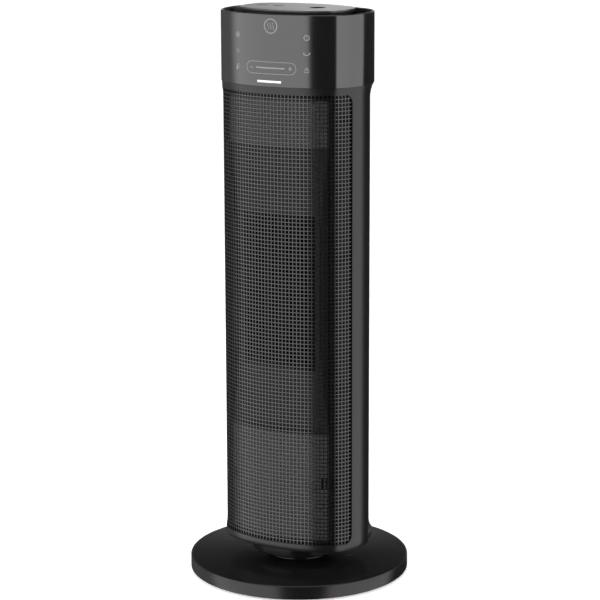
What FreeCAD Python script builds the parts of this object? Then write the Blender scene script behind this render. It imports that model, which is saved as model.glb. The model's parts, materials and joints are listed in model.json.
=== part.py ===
import FreeCAD, Part
import math
import os
import Sketcher
from FreeCAD import Placement, Rotation, Vector

# An oval tower fan heater on a round base. +Z is up, the front faces -Y, and the origin is on
# the floor under the middle of the base. All lengths are in millimetres.

DRIVING_SIZES = [
    ("base_radius", 128.0, "outer radius of the round base"),
    ("base_thickness", 16.0, "height of the base skirt above its feet"),
    ("foot_height", 2.5, "height of the rubber feet"),
    ("foot_radius", 9.0, "radius of one foot"),
    ("rim_margin", 20.0, "from the base edge to the ring of feet"),
    ("base_wall", 2.5, "wall of the base cover"),
    ("base_edge", 1.5, "bevel round the top edge of the base"),
    ("ballast_thickness", 6.0, "thickness of the steel ballast ring"),
    ("ballast_bore", 60.0, "inner radius of the ballast ring"),
    ("boss_radius", 4.5, "radius of a screw boss"),
    ("hub_radius", 36.0, "radius of the hub on the base"),
    ("hub_rise", 7.3, "height of the hub above the base top"),
    ("post_radius", 20.0, "radius of the swivel post"),
    ("post_bore", 12.0, "wire passage through the post"),
    ("post_step", 3.0, "shoulder that carries the fixed gear"),
    ("gear_screw_inset", 2.5, "gear screws in from the edge of the post's top"),
    ("flange_radius", 32.0, "radius of the post flange"),
    ("flange_thickness", 3.0, "thickness of the post flange"),
    ("slide_ring_thickness", 1.0, "thickness of the low-friction ring"),
    ("slide_ring_bore", 26.0, "inner radius of the low-friction ring"),
    ("running_gap", 0.05, "radial clearance of a shaft in its bore"),
    ("swivel_gap", 0.2, "axial clearance of the swivel"),
    ("fit_gap", 0.3, "clearance between loose covers"),
    ("collar_radius", 55.5, "radius of the round collar"),
    ("collar_height", 12.8, "height of the round collar"),
    ("collar_edge", 1.2, "bevel round the bottom of the collar"),
    ("sleeve_wall", 4.0, "wall of the bearing sleeve"),
    ("sleeve_proud", 1.4, "sleeve above the floor of the tower"),
    ("cap_floor", 3.0, "floor of the tower"),
    ("gear_module", 1.25, "module of the swivel gears"),
    ("gear_teeth", 48, "teeth of the fixed gear"),
    ("pinion_teeth", 18, "teeth of the pinion"),
    ("gear_thickness", 6.0, "face width of the swivel gears"),
    ("gear_backlash", 0.2, "play between the teeth"),
    ("pinion_shaft", 2.5, "radius of the pinion shaft"),
    ("swivel_motor_radius", 23.0, "radius of the swivel motor"),
    ("swivel_motor_height", 20.0, "height of the swivel motor"),
    ("swivel_motor_rise", 3.0, "swivel motor above the gears"),
    ("ear_reach", 6.0, "stand of the swivel motor beyond its can"),
    ("ear_half_width", 5.0, "half width of the swivel motor's ears"),
    ("ear_thickness", 2.0, "thickness of the swivel motor's ears"),
    ("body_half_width", 88.0, "half width of the tower"),
    ("body_half_depth", 63.8, "half depth of the tower"),
    ("front_bulge", 57.0, "front radius less the half width"),
    ("end_bulge", 10.6, "end radius less the half depth"),
    ("corner_radius", 42.2, "radius between front and end"),
    ("body_height", 536.9, "height of the tower below the head"),
    ("shell_wall", 2.5, "wall of the casing"),
    ("parting_y", 8.0, "parting plane of front and rear casing"),
    ("lip_length", 7.0, "rear lip tucked into the front casing"),
    ("rear_inset", 4.0, "step in of the rear casing"),
    ("cove_high", 17.5, "height of the cove under the head"),
    ("cove_low", 12.0, "height of the flare above the foot"),
    ("foot_round", 10.0, "height of the rounded rear bottom edge"),
    ("foot_round_depth", 3.5, "depth of the rounded rear bottom edge"),
    ("band_low", 8.2, "frame band below the grille"),
    ("band_high", 7.7, "frame band above the grille"),
    ("grille_wrap", 25.0, "distance of the grille's side edge in front of the axis"),
    ("grille_corner", 10.0, "corner radius of the grille opening"),
    ("grille_inset", 1.3, "grille behind the casing surface"),
    ("grille_thickness", 1.0, "thickness of the grille sheet"),
    ("grille_tuck", 3.0, "grille edge held behind the frame"),
    ("tuck_gap", 0.2, "clearance round the grille edge"),
    ("clip_margin", 27.0, "first grille clip from the opening's end"),
    ("clip_height", 8.0, "height of a grille clip"),
    ("clip_width", 7.0, "depth of a grille clip along the side"),
    ("guide_inset", 4.0, "air guide behind the casing surface"),
    ("guide_wall", 2.2, "wall of the air guide"),
    ("guide_depth", 19.8, "recess floor behind the foremost casing"),
    ("guide_flange", 7.0, "width of the air guide's side flange"),
    ("low_zone", 132.0, "flat panel below the recess"),
    ("high_zone", 60.0, "flat panel above the recess"),
    ("recess_side", 23.0, "recess end from the casing side"),
    ("recess_waist", 12.0, "how far the recess sides bow in"),
    ("window_side", 6.0, "window edge from the recess waist"),
    ("window_low_margin", 72.0, "recess below the window"),
    ("window_high_margin", 78.0, "recess above the window"),
    ("guard_thickness", 1.4, "thickness of the outlet guard"),
    ("guard_pitch", 7.0, "pitch of the outlet guard's bars"),
    ("guard_slot", 5.0, "height of the outlet guard's slots"),
    ("vent_slot_width", 2.2, "width of the small vent slots"),
    ("vent_slot_height", 13.0, "height of the small vent slots"),
    ("vent_slot_pitch", 4.4, "pitch of the small vent slots"),
    ("vent_slot_rise", 67.4, "vent slots above the opening's bottom"),
    ("heater_depth", 26.0, "depth of the heater block"),
    ("heater_rim", 5.0, "rim of the heater frame round the window"),
    ("tube_half_width", 3.0, "half width of a heating tube"),
    ("tube_inset", 4.0, "heating tube behind the heater frame face"),
    ("fin_pitch", 7.0, "pitch of the heating fins"),
    ("fin_thickness", 0.5, "thickness of the heating fins"),
    ("tube_count", 5, "number of heating tubes"),
    ("terminal_height", 12.0, "height of a heater terminal"),
    ("terminal_half_width", 3.0, "half width of a heater terminal"),
    ("blower_room_inset", 12.0, "blower room behind the rear surface"),
    ("blower_wall", 2.0, "wall of the blower housing"),
    ("blower_end", 3.0, "end plates of the blower housing"),
    ("blower_overrun", 8.0, "blower beyond the window at each end"),
    ("wheel_gap", 3.0, "air gap round the blower wheel"),
    ("wheel_end_gap", 3.0, "air gap at the ends of the blower wheel"),
    ("wheel_disc", 2.5, "thickness of the wheel's end discs"),
    ("blade_depth", 7.0, "radial depth of a blade"),
    ("blade_thickness", 1.0, "thickness of a blade"),
    ("blade_lean", 3.0, "slant of a blade across its depth"),
    ("blade_count", 28, "number of blades"),
    ("shaft_radius", 3.0, "radius of the blower shaft"),
    ("motor_radius", 26.0, "radius of the blower motor"),
    ("motor_height", 34.0, "height of the blower motor"),
    ("motor_wall", 2.0, "wall of the blower motor"),
    ("bush_radius", 7.0, "outer radius of the wheel bush"),
    ("bush_height", 7.0, "height of the wheel bush"),
    ("inlet_half_width", 46.0, "half width of the rear inlet"),
    ("ledge_width", 4.0, "ledge behind the filter cover"),
    ("ledge_thickness", 2.0, "thickness of that ledge"),
    ("louvre_pitch", 8.0, "pitch of the rear louvres"),
    ("louvre_slot", 4.0, "height of a rear louvre slot"),
    ("cover_border", 9.0, "plain border of the filter cover"),
    ("filter_thickness", 2.5, "thickness of the dust filter"),
    ("head_height", 80.4, "height of the head"),
    ("head_proud", 0.7, "head in front of the tower surface"),
    ("recess_depth", 16.0, "depth of the recess round the lid"),
    ("deck_thickness", 2.5, "floor of that recess"),
    ("lid_inset", 21.0, "lid edge behind the tower surface"),
    ("lid_thickness", 4.0, "thickness of the lid"),
    ("lid_rise", 3.4, "lid above the rim of the head"),
    ("pedestal_inset", 27.0, "wall under the lid behind the tower surface"),
    ("pedestal_wall", 2.5, "thickness of the wall under the lid"),
    ("button_radius", 6.5, "radius of a lid button"),
    ("button_travel", 1.2, "travel of a lid button"),
    ("button_proud", 0.3, "button above the lid"),
    ("mode_button_x", 45.5, "first button left of the middle"),
    ("timer_button_x", 23.3, "second button left of the middle"),
    ("eye_x", 26.0, "remote-control window right of the middle"),
    ("eye_radius", 9.0, "radius of the remote-control window"),
    ("board_thickness", 1.6, "thickness of a circuit board"),
    ("control_setback", 15.4, "control board behind the foremost casing"),
    ("control_side", 42.0, "control board edge from the casing side"),
    ("display_half_width", 18.0, "half width of the display"),
    ("display_half_height", 14.0, "half height of the display"),
    ("display_depth", 9.0, "depth of the display"),
    ("film_thickness", 0.5, "thickness of the touch film"),
    ("power_board_side", 40.0, "power board edge from the casing side"),
    ("power_board_height", 80.0, "height of the power board"),
    ("power_board_rise", 15.0, "power board above the swivel motor"),
    ("rail_width", 8.0, "width of a board rail"),
    ("rail_depth", 6.0, "depth of a board rail"),
    ("loom_radius", 2.5, "radius of the wire bundle"),
    ("loom_side", 14.0, "wire bundle from the casing side"),
    ("loom_start", 35.0, "wire bundle above the power board's bottom edge"),
    ("loom_end", 22.0, "wire bundle's upper end above the seam"),
    ("loom_y", -5.0, "depth at which the wire bundle runs up"),
    ("screw_radius", 1.5, "radius of a screw shank"),
    ("screw_head_radius", 3.0, "radius of a screw head"),
    ("screw_head_height", 1.5, "height of a screw head"),
    ("case_screw_side", 24.0, "casing screws from the casing side"),
    ("tip_offset", 48.0, "tip-over plunger behind the middle"),
    ("tip_radius", 6.0, "radius of the plunger's foot"),
    ("tip_travel", 4.0, "travel of the plunger"),
    ("spring_radius", 4.0, "radius of the plunger's spring"),
    ("spring_wire", 0.3, "wire radius of that spring"),
    ("spring_turns", 3, "turns of that spring"),
    ("tip_switch_gap", 10.0, "tip-over switch from the plunger's axis"),
    ("tip_switch_depth", 7.0, "depth of the tip-over switch"),
    ("tip_switch_half_width", 8.0, "half width of the tip-over switch"),
    ("gland_radius", 7.0, "radius of the cord gland"),
    ("gland_bore", 3.6, "cord hole in the gland"),
    ("gland_rise", 30.0, "gland above the tower's bottom"),
    ("rocker_half_width", 6.0, "half width of the mains rocker"),
    ("rocker_half_height", 8.0, "half height of the mains rocker"),
    ("rocker_rise", 72.0, "mains rocker above the tower's bottom"),
    ("rocker_tilt", 10.0, "tilt of the mains rocker at rest, in degrees"),
    ("rocker_case_depth", 18.0, "depth of the mains switch's case"),
    ("rocker_axle_radius", 1.2, "radius of the rocker's axle"),
    ("rocker_axle_reach", 1.2, "axle beyond the rocker at each side"),
]

doc = FreeCAD.newDocument("tower_heater")
sheet = doc.addObject("Spreadsheet::Sheet", "sizes")


class Size:
    """A length that knows its number and the sheet expression that gives it."""

    def __init__(self, value, text):
        self.value = value
        self.text = text

    def __add__(self, other):
        other = as_size(other)
        return Size(self.value + other.value, f"({self.text} + {other.text})")

    def __radd__(self, other):
        return as_size(other) + self

    def __sub__(self, other):
        other = as_size(other)
        return Size(self.value - other.value, f"({self.text} - {other.text})")

    def __rsub__(self, other):
        return as_size(other) - self

    def __mul__(self, other):
        other = as_size(other)
        return Size(self.value * other.value, f"({self.text} * {other.text})")

    def __rmul__(self, other):
        return as_size(other) * self

    def __truediv__(self, other):
        other = as_size(other)
        return Size(self.value / other.value, f"({self.text} / {other.text})")

    def __neg__(self):
        return Size(-self.value, f"(-1 * {self.text})")


def as_size(number):
    """A plain number becomes a Size with itself as its text."""
    if isinstance(number, Size):
        return number
    return Size(float(number), f"{float(number):.6f}")


def fill_sheet():
    """Write the driving sizes into the sheet and return them by alias."""
    sizes = {}
    for row, (alias, value, note) in enumerate(DRIVING_SIZES, start=1):
        sheet.set(f"A{row}", alias)
        sheet.set(f"B{row}", str(value))
        sheet.set(f"C{row}", note)
        sheet.setAlias(f"B{row}", alias)
        sizes[alias] = Size(float(value), f"sizes.{alias}")
    return sizes


S = fill_sheet()
doc.recompute()

FULL_TURN = 360.0
FAR = as_size(400)          # longer than any cut needs to reach
ZERO = as_size(0)
UP = Vector(0, 0, 1)
DOWN = Vector(0, 0, -1)
BACKWARD = Vector(0, 1, 0)
FORWARD = Vector(0, -1, 0)
ALONG_X = Vector(1, 0, 0)

# Heights above the floor
base_top = S["foot_height"] + S["base_thickness"]
plate_top = S["foot_height"] + S["base_wall"]
skin_bottom = base_top - S["base_wall"]
hub_top = base_top + S["hub_rise"]
hub_ceiling = hub_top - S["base_wall"]
ring_top = hub_top + S["slide_ring_thickness"]
collar_bottom = ring_top + S["swivel_gap"]
tower_bottom = collar_bottom + S["collar_height"]
floor_top = tower_bottom + S["cap_floor"]
sleeve_top = floor_top + S["sleeve_proud"]
gear_bottom = sleeve_top + S["swivel_gap"]
gear_top = gear_bottom + S["gear_thickness"]
seam = tower_bottom + S["body_height"]
rim = seam + S["head_height"]
opening_low = tower_bottom + S["band_low"]
opening_high = seam - S["band_high"]
recess_low = opening_low + S["low_zone"]
recess_high = opening_high - S["high_zone"]
window_low = recess_low + S["window_low_margin"]
window_high = recess_high - S["window_high_margin"]
deck_top = rim - S["recess_depth"]
deck_bottom = deck_top - S["deck_thickness"]
lid_top = rim + S["lid_rise"]
lid_bottom = lid_top - S["lid_thickness"]
top_plate_bottom = seam - S["cap_floor"]

# Depths and widths
recess_floor = S["guide_depth"] - S["body_half_depth"]
recess_back = recess_floor + S["guide_wall"]
heater_back = recess_back + S["heater_depth"]
recess_end_x = S["body_half_width"] - S["recess_side"]
recess_waist_x = recess_end_x - S["recess_waist"]
window_x = recess_waist_x - S["window_side"]
heater_x = window_x + S["heater_rim"]
blower_back = S["body_half_depth"] - S["blower_room_inset"]
wheel_y = (heater_back + blower_back) / 2
housing_radius = (blower_back - heater_back) / 2
wheel_room = housing_radius - S["blower_wall"]
wheel_radius = wheel_room - S["wheel_gap"]
rear_inner_inset = S["rear_inset"] + S["shell_wall"]
blower_low = window_low - S["blower_overrun"]
blower_high = window_high + S["blower_overrun"]
gear_distance = S["gear_module"] * (S["gear_teeth"] + S["pinion_teeth"]) / 2
post_top_radius = S["post_radius"] - S["post_step"]
case_screw_x = S["body_half_width"] - S["case_screw_side"]
motor_stand = S["swivel_motor_radius"] + S["ear_reach"]

nodes = {}


def bind(thing, prop, size):
    """Tie a property of an object to the sheet."""
    size = as_size(size)
    if "." not in prop:
        setattr(thing, prop, size.value)
    thing.setExpression(prop, size.text)


def place(thing, at, direction=UP, turn=0.0):
    """Put an object at a point, its own Z along a direction, turned about its own Z."""
    at = [as_size(part) for part in at]
    aim = Rotation(UP, direction).multiply(Rotation(UP, turn))
    thing.Placement = Placement(Vector(*[part.value for part in at]), aim)
    for axis, part in zip("xyz", at):
        thing.setExpression(f"Placement.Base.{axis}", part.text)


def node(name, thing):
    """Name a finished sub-part."""
    thing.Label = name
    nodes[name] = thing
    return thing


def box(name, low, high):
    """A block between two corners."""
    low = [as_size(part) for part in low]
    high = [as_size(part) for part in high]
    block = doc.addObject("Part::Box", name)
    for prop, start, end in zip(("Length", "Width", "Height"), low, high):
        bind(block, prop, end - start)
    place(block, low)
    return block


def wide_box(name, half_width, y_range, z_range):
    """A block centred on the YZ plane."""
    half_width = as_size(half_width)
    return box(name, (-half_width, y_range[0], z_range[0]), (half_width, y_range[1], z_range[1]))


def rod(name, radius, at, length, direction=UP):
    """A round bar that starts at a point."""
    bar = doc.addObject("Part::Cylinder", name)
    bind(bar, "Radius", radius)
    bind(bar, "Height", length)
    place(bar, at, direction)
    return bar


def combine(kind, prop, name, things):
    """A boolean or compound of several objects."""
    result = doc.addObject(kind, name)
    setattr(result, prop, list(things))
    return result


def fuse(name, *things):
    return combine("Part::MultiFuse", "Shapes", name, things)


def common(name, *things):
    return combine("Part::MultiCommon", "Shapes", name, things)


def group(name, *things):
    return combine("Part::Compound", "Links", name, things)


def cut(name, base, *tools):
    """The base less each tool in turn."""
    for number, tool in enumerate(tools, start=1):
        result = doc.addObject("Part::Cut", f"{name}_less_{number}")
        result.Base = base
        result.Tool = tool
        base = result
    return base


def corner_centre(half_width, half_depth, front_radius, end_radius, corner_radius):
    """Centre of the corner arc that joins the front arc and the end arc smoothly."""
    front = Vector(0, half_depth - front_radius, 0)
    end = Vector(half_width - end_radius, 0, 0)
    from_front = front_radius - corner_radius
    from_end = end_radius - corner_radius
    span = end - front
    along = (from_front ** 2 - from_end ** 2 + span.Length ** 2) / (2 * span.Length)
    across = math.sqrt(from_front ** 2 - along ** 2)
    unit = span / span.Length
    first = front + unit * along + Vector(-unit.y, unit.x, 0) * across
    second = front + unit * along - Vector(-unit.y, unit.x, 0) * across
    return max(first, second, key=lambda point: point.x + point.y)


def oval_sketch(name, inset, height):
    """The tower's oval, eight arcs in smooth contact, moved inwards by the inset."""
    inset = as_size(inset)
    half_width = S["body_half_width"]
    half_depth = S["body_half_depth"]
    front_radius = half_width + S["front_bulge"]
    end_radius = half_depth + S["end_bulge"]
    corner = corner_centre(half_width.value, half_depth.value, front_radius.value,
                           end_radius.value, S["corner_radius"].value)
    end_shift = half_width - end_radius
    front_shift = front_radius - half_depth
    upper = math.degrees(math.atan2(corner.y + front_shift.value, corner.x))
    lower = math.degrees(math.atan2(corner.y, corner.x - end_shift.value))
    front = front_radius - inset
    end = end_radius - inset
    bend = S["corner_radius"] - inset
    arcs = [
        (end_shift.value, 0, end, -lower, lower),
        (corner.x, corner.y, bend, lower, upper),
        (0, -front_shift.value, front, upper, 180 - upper),
        (-corner.x, corner.y, bend, 180 - upper, 180 - lower),
        (-end_shift.value, 0, end, 180 - lower, 180 + lower),
        (-corner.x, -corner.y, bend, 180 + lower, 180 + upper),
        (0, front_shift.value, front, 180 + upper, 360 - upper),
        (corner.x, -corner.y, bend, 360 - upper, 360 - lower),
    ]
    sketch = doc.addObject("Sketcher::SketchObject", name)
    for x, y, radius, start, stop in arcs:
        circle = Part.Circle(Vector(x, y, 0), UP, radius.value)
        arc = Part.ArcOfCircle(circle, math.radians(start), math.radians(stop))
        sketch.addGeometry(arc, False)
    count = len(arcs)
    for index in range(count):
        sketch.addConstraint(Sketcher.Constraint("Tangent", index, 2, (index + 1) % count, 1))
    for index in (2, 6):
        sketch.addConstraint(Sketcher.Constraint("PointOnObject", index, 3, -2))
    for index in (0, 4):
        sketch.addConstraint(Sketcher.Constraint("PointOnObject", index, 3, -1))
    for index, (_, _, radius, _, _) in enumerate(arcs):
        dimension(sketch, Sketcher.Constraint("Radius", index, radius.value), radius)
    dimension(sketch, Sketcher.Constraint("DistanceX", -1, 1, 0, 3, end_shift.value), end_shift)
    dimension(sketch, Sketcher.Constraint("DistanceX", 4, 3, -1, 1, end_shift.value), end_shift)
    dimension(sketch, Sketcher.Constraint("DistanceY", 2, 3, -1, 1, front_shift.value), front_shift)
    dimension(sketch, Sketcher.Constraint("DistanceY", -1, 1, 6, 3, front_shift.value), front_shift)
    place(sketch, (0, 0, height))
    return sketch


def dimension(sketch, constraint, size):
    """Add a dimension to a sketch and tie it to the sheet."""
    index = sketch.addConstraint(constraint)
    sketch.setExpression(f"Constraints[{index}]", size.text)


def oval(name, inset, low, high):
    """An upright solid with the tower's oval section."""
    solid = doc.addObject("Part::Extrusion", name)
    solid.Base = oval_sketch(f"{name}_outline", inset, low)
    solid.DirMode = "Custom"
    solid.Dir = UP
    solid.Solid = True
    bind(solid, "LengthFwd", high - low)
    return solid


def oval_ring(name, outer, inner, low, high):
    """The wall between two ovals."""
    return cut(name, oval(f"{name}_outer", outer, low, high),
               oval(f"{name}_inner", inner, low - 1, high + 1))


def plane(body, role):
    """One of the origin planes of a body."""
    return next(feature for feature in body.Origin.OriginFeatures if feature.Role == role)


def body_sketch(body, name, role="XY_Plane", lift=ZERO):
    """A sketch on an origin plane of its own body, lifted along the plane's normal."""
    sketch = body.newObject("Sketcher::SketchObject", name)
    sketch.AttachmentSupport = (plane(body, role), [""])
    sketch.MapMode = "FlatFace"
    sketch.AttachmentOffset = Placement(Vector(0, 0, lift.value), Rotation())
    sketch.setExpression("AttachmentOffset.Base.z", lift.text)
    return sketch


def outline(sketch, points):
    """A closed outline of straight lines, every corner tied to the sheet."""
    points = [(as_size(across), as_size(along)) for across, along in points]
    count = len(points)
    for index, (across, along) in enumerate(points):
        next_across, next_along = points[(index + 1) % count]
        start = Vector(across.value, along.value, 0)
        sketch.addGeometry(Part.LineSegment(start, Vector(next_across.value, next_along.value, 0)), False)
    for index in range(count):
        sketch.addConstraint(Sketcher.Constraint("Coincident", index, 2, (index + 1) % count, 1))
    for index, (across, along) in enumerate(points):
        dimension(sketch, Sketcher.Constraint("DistanceX", -1, 1, index, 1, across.value), across)
        dimension(sketch, Sketcher.Constraint("DistanceY", -1, 1, index, 1, along.value), along)


def circle(sketch, radius):
    """A circle about the sketch's origin."""
    index = sketch.addGeometry(Part.Circle(Vector(0, 0, 0), UP, radius.value), False)
    sketch.addConstraint(Sketcher.Constraint("Coincident", index, 3, -1, 1))
    dimension(sketch, Sketcher.Constraint("Radius", index, radius.value), radius)


def pad(body, name, sketch, length):
    """Raise a sketch into the body."""
    feature = body.newObject("PartDesign::Pad", name)
    feature.Profile = sketch
    bind(feature, "Length", length)
    return feature


def polar(body, name, feature, sketch, count):
    """Repeat a feature round the body's Z axis and make it the tip."""
    pattern = body.newObject("PartDesign::PolarPattern", name)
    pattern.Originals = [feature]
    pattern.Axis = (sketch, ["N_Axis"])
    pattern.Angle = FULL_TURN
    pattern.Occurrences = int(count)
    body.Tip = pattern
    return pattern


def turned(name, profile, at=(0, 0, 0)):
    """A body turned about its own Z from points of radius and height."""
    body = doc.addObject("PartDesign::Body", name)
    sketch = body_sketch(body, f"{name}_profile", "XZ_Plane")
    outline(sketch, profile)
    feature = body.newObject("PartDesign::Revolution", f"{name}_turn")
    feature.Profile = sketch
    feature.ReferenceAxis = (sketch, ["V_Axis"])
    feature.Angle = FULL_TURN
    place(body, at)
    return body


def ring_points(radius, count, start):
    """Points spaced evenly round the Z axis, as sizes."""
    for index in range(count):
        angle = math.radians(start + FULL_TURN * index / count)
        yield radius * round(math.cos(angle), 6), radius * round(math.sin(angle), 6)


def screw_set(name, seats, direction, length):
    """Identical pan-head screws, each with its head's seat at a point."""
    screws = []
    shanks = []
    back = direction * -1
    for number, seat in enumerate(seats, start=1):
        shank = rod(f"{name}_shank_{number}", S["screw_radius"], seat, length, direction)
        head = rod(f"{name}_head_{number}", S["screw_head_radius"], seat, S["screw_head_height"], back)
        screws.append(fuse(f"{name}_{number}", shank, head))
        shanks.append(shank)
    node(name, group(name, *screws))
    return group(f"{name}_holes", *shanks)


def gear_gap(sketch, teeth, module, bore_side):
    """The gap between two involute teeth, centred on the sketch's X axis."""
    pitch = teeth * module / 2
    base = pitch * math.cos(math.radians(20))
    root = pitch - 1.25 * module
    tip = pitch + module
    roll = math.tan(math.acos(base / pitch)) - math.acos(base / pitch)
    at_pitch = math.pi / (2 * teeth) + bore_side / (2 * pitch)

    def half_angle(radius):
        pressure = math.acos(min(1.0, base / max(radius, base)))
        return at_pitch - roll + math.tan(pressure) - pressure

    def point(radius, sign):
        angle = sign * half_angle(radius)
        return Vector(radius * math.cos(angle), radius * math.sin(angle), 0)

    start = max(base, root)
    beyond = tip + module
    middle = (start + tip) / 2
    edges = []
    for sign in (1, -1):
        flank = Part.Arc(point(start, sign), point(middle, sign), point(tip, sign))
        angle = sign * half_angle(start)
        foot = Vector(root * math.cos(angle), root * math.sin(angle), 0)
        slope = sign * half_angle(tip)
        out = Vector(beyond * math.cos(slope), beyond * math.sin(slope), 0)
        if root < base:
            edges.append(Part.LineSegment(foot, point(start, sign)))
        edges.append(flank)
        edges.append(Part.LineSegment(point(tip, sign), out))
    angle = half_angle(start)
    reach = half_angle(tip)
    low = [Vector(root * math.cos(angle), -root * math.sin(angle), 0), Vector(root, 0, 0),
           Vector(root * math.cos(angle), root * math.sin(angle), 0)]
    high = [Vector(beyond * math.cos(reach), -beyond * math.sin(reach), 0), Vector(beyond, 0, 0),
            Vector(beyond * math.cos(reach), beyond * math.sin(reach), 0)]
    if root >= base:
        low[0], low[2] = point(start, -1), point(start, 1)
        low[1] = Vector(start, 0, 0)
    edges.append(Part.Arc(*low))
    edges.append(Part.Arc(*high))
    sketch.addGeometry(edges, False)


def gear(name, teeth, bore, low, thickness, at, turn):
    """A spur gear as a disc with one gap cut and repeated, standing about its own Z."""
    module = S["gear_module"]
    body = doc.addObject("PartDesign::Body", name)
    blank = body_sketch(body, f"{name}_blank", lift=low)
    circle(blank, module * teeth / 2 + module)
    if bore is not None:
        circle(blank, bore)
    pad(body, f"{name}_disc", blank, thickness)
    gap = body_sketch(body, f"{name}_gap", lift=low + thickness)
    gear_gap(gap, int(teeth.value), module.value, S["gear_backlash"].value)
    doc.recompute()
    pocket = body.newObject("PartDesign::Pocket", f"{name}_tooth_space")
    pocket.Profile = gap
    pocket.Type = "ThroughAll"
    polar(body, f"{name}_teeth", pocket, gap, teeth.value)
    place(body, at, UP, turn)
    return body


def make_base():
    """Round foot: cover with hub, bottom plate, ballast, feet and screws."""
    outer = S["base_radius"]
    wall = S["base_wall"]
    inner = outer - wall
    hub_inner = S["hub_radius"] - wall
    shell = turned("base_cover_shell", [
        (S["post_radius"], hub_ceiling), (S["post_radius"], hub_top), (S["hub_radius"], hub_top),
        (S["hub_radius"], base_top), (outer - S["base_edge"], base_top),
        (outer, base_top - S["base_edge"]), (outer, S["foot_height"]), (inner, S["foot_height"]),
        (inner, skin_bottom), (hub_inner, skin_bottom), (hub_inner, hub_ceiling)])
    boss_ring = inner - S["boss_radius"] - 2
    spots = list(ring_points(boss_ring, 5, 54))
    bosses = [rod(f"base_boss_{number}", S["boss_radius"], (x, y, plate_top), skin_bottom - plate_top)
              for number, (x, y) in enumerate(spots, start=1)]
    screws = screw_set("base_screws", [(x, y, S["foot_height"]) for x, y in spots], UP,
                       skin_bottom - S["foot_height"])
    post_spots = [(x, y, hub_ceiling - S["flange_thickness"])
                  for x, y in ring_points(S["flange_radius"] - 6, 3, 90)]
    post_screws = screw_set("post_screws", post_spots, UP, S["flange_thickness"] + wall - 0.5)
    node("base_cover", cut("base_cover", fuse("base_cover_bossed", shell, *bosses), screws, post_screws))

    plate = rod("plate_disc", inner, (0, 0, S["foot_height"]), wall)
    passage = rod("plate_passage", S["post_bore"], (0, 0, 0), plate_top + 1)
    plunger_hole = rod("plate_plunger_hole", S["tip_radius"] + S["fit_gap"], (0, S["tip_offset"], 0),
                       plate_top + 1)
    node("base_bottom_plate", cut("base_bottom_plate", plate, passage, plunger_hole, screws))

    ballast_outer = boss_ring - S["boss_radius"] - 1
    node("base_ballast", turned("base_ballast", [
        (S["ballast_bore"], plate_top), (ballast_outer, plate_top),
        (ballast_outer, plate_top + S["ballast_thickness"]),
        (S["ballast_bore"], plate_top + S["ballast_thickness"])]))

    feet = [rod(f"foot_{number}", S["foot_radius"], (x, y, 0), S["foot_height"])
            for number, (x, y) in enumerate(ring_points(outer - S["rim_margin"], 5, 18), start=1)]
    node("base_feet", group("base_feet", *feet))
    return post_screws


def make_swivel(post_screws):
    """Fixed post, slide ring and gear, with the tower's collar turning round them."""
    bore = S["post_bore"]
    radius = S["post_radius"]
    flange_bottom = hub_ceiling - S["flange_thickness"]
    post = turned("swivel_post_turned", [
        (bore, flange_bottom), (S["flange_radius"], flange_bottom), (S["flange_radius"], hub_ceiling),
        (radius, hub_ceiling), (radius, gear_bottom), (post_top_radius, gear_bottom),
        (post_top_radius, gear_top), (bore, gear_top)])
    screw_ring = post_top_radius - S["gear_screw_inset"]
    seats = [(x, y, gear_top) for x, y in ring_points(screw_ring, 3, 30)]
    gear_screws = screw_set("gear_screws", seats, DOWN, S["gear_thickness"])
    node("swivel_post", cut("swivel_post", post, post_screws, gear_screws))
    node("slide_ring", turned("slide_ring", [
        (S["slide_ring_bore"], hub_top), (S["flange_radius"], hub_top),
        (S["flange_radius"], ring_top), (S["slide_ring_bore"], ring_top)]))
    node("swivel_gear", gear("swivel_gear", S["gear_teeth"], post_top_radius, gear_bottom,
                             S["gear_thickness"], (0, 0, 0), 0))

    sleeve_bore = radius + S["running_gap"]
    sleeve = sleeve_bore + S["sleeve_wall"]
    rim_inner = S["collar_radius"] - S["shell_wall"]
    web_top = collar_bottom + S["shell_wall"]
    collar = turned("swivel_collar_turned", [
        (sleeve_bore, collar_bottom), (S["collar_radius"] - S["collar_edge"], collar_bottom),
        (S["collar_radius"], collar_bottom + S["collar_edge"]), (S["collar_radius"], tower_bottom),
        (rim_inner, tower_bottom), (rim_inner, web_top), (sleeve, web_top), (sleeve, sleeve_top),
        (sleeve_bore, sleeve_top)])
    spots = list(ring_points(rim_inner - S["boss_radius"] - 6, 4, 45))
    bosses = [rod(f"collar_boss_{number}", S["boss_radius"], (x, y, web_top), tower_bottom - web_top)
              for number, (x, y) in enumerate(spots, start=1)]
    collar_screws = screw_set("collar_screws", [(x, y, floor_top) for x, y in spots], DOWN,
                              S["cap_floor"] + 8)
    node("swivel_collar", cut("swivel_collar", fuse("swivel_collar_bossed", collar, *bosses),
                              collar_screws))
    return collar_screws


def inner_plate(name, low, high):
    """A plate that fills the casing from wall to wall."""
    full = oval(f"{name}_full", S["shell_wall"], low, high)
    ahead = S["parting_y"] - S["lip_length"]
    front_half = wide_box(f"{name}_front_half", FAR, (-FAR, ahead), (low - 1, high + 1))
    return fuse(f"{name}_plate", common(f"{name}_front", full, front_half),
                oval(f"{name}_rear", rear_inner_inset, low, high))


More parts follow.
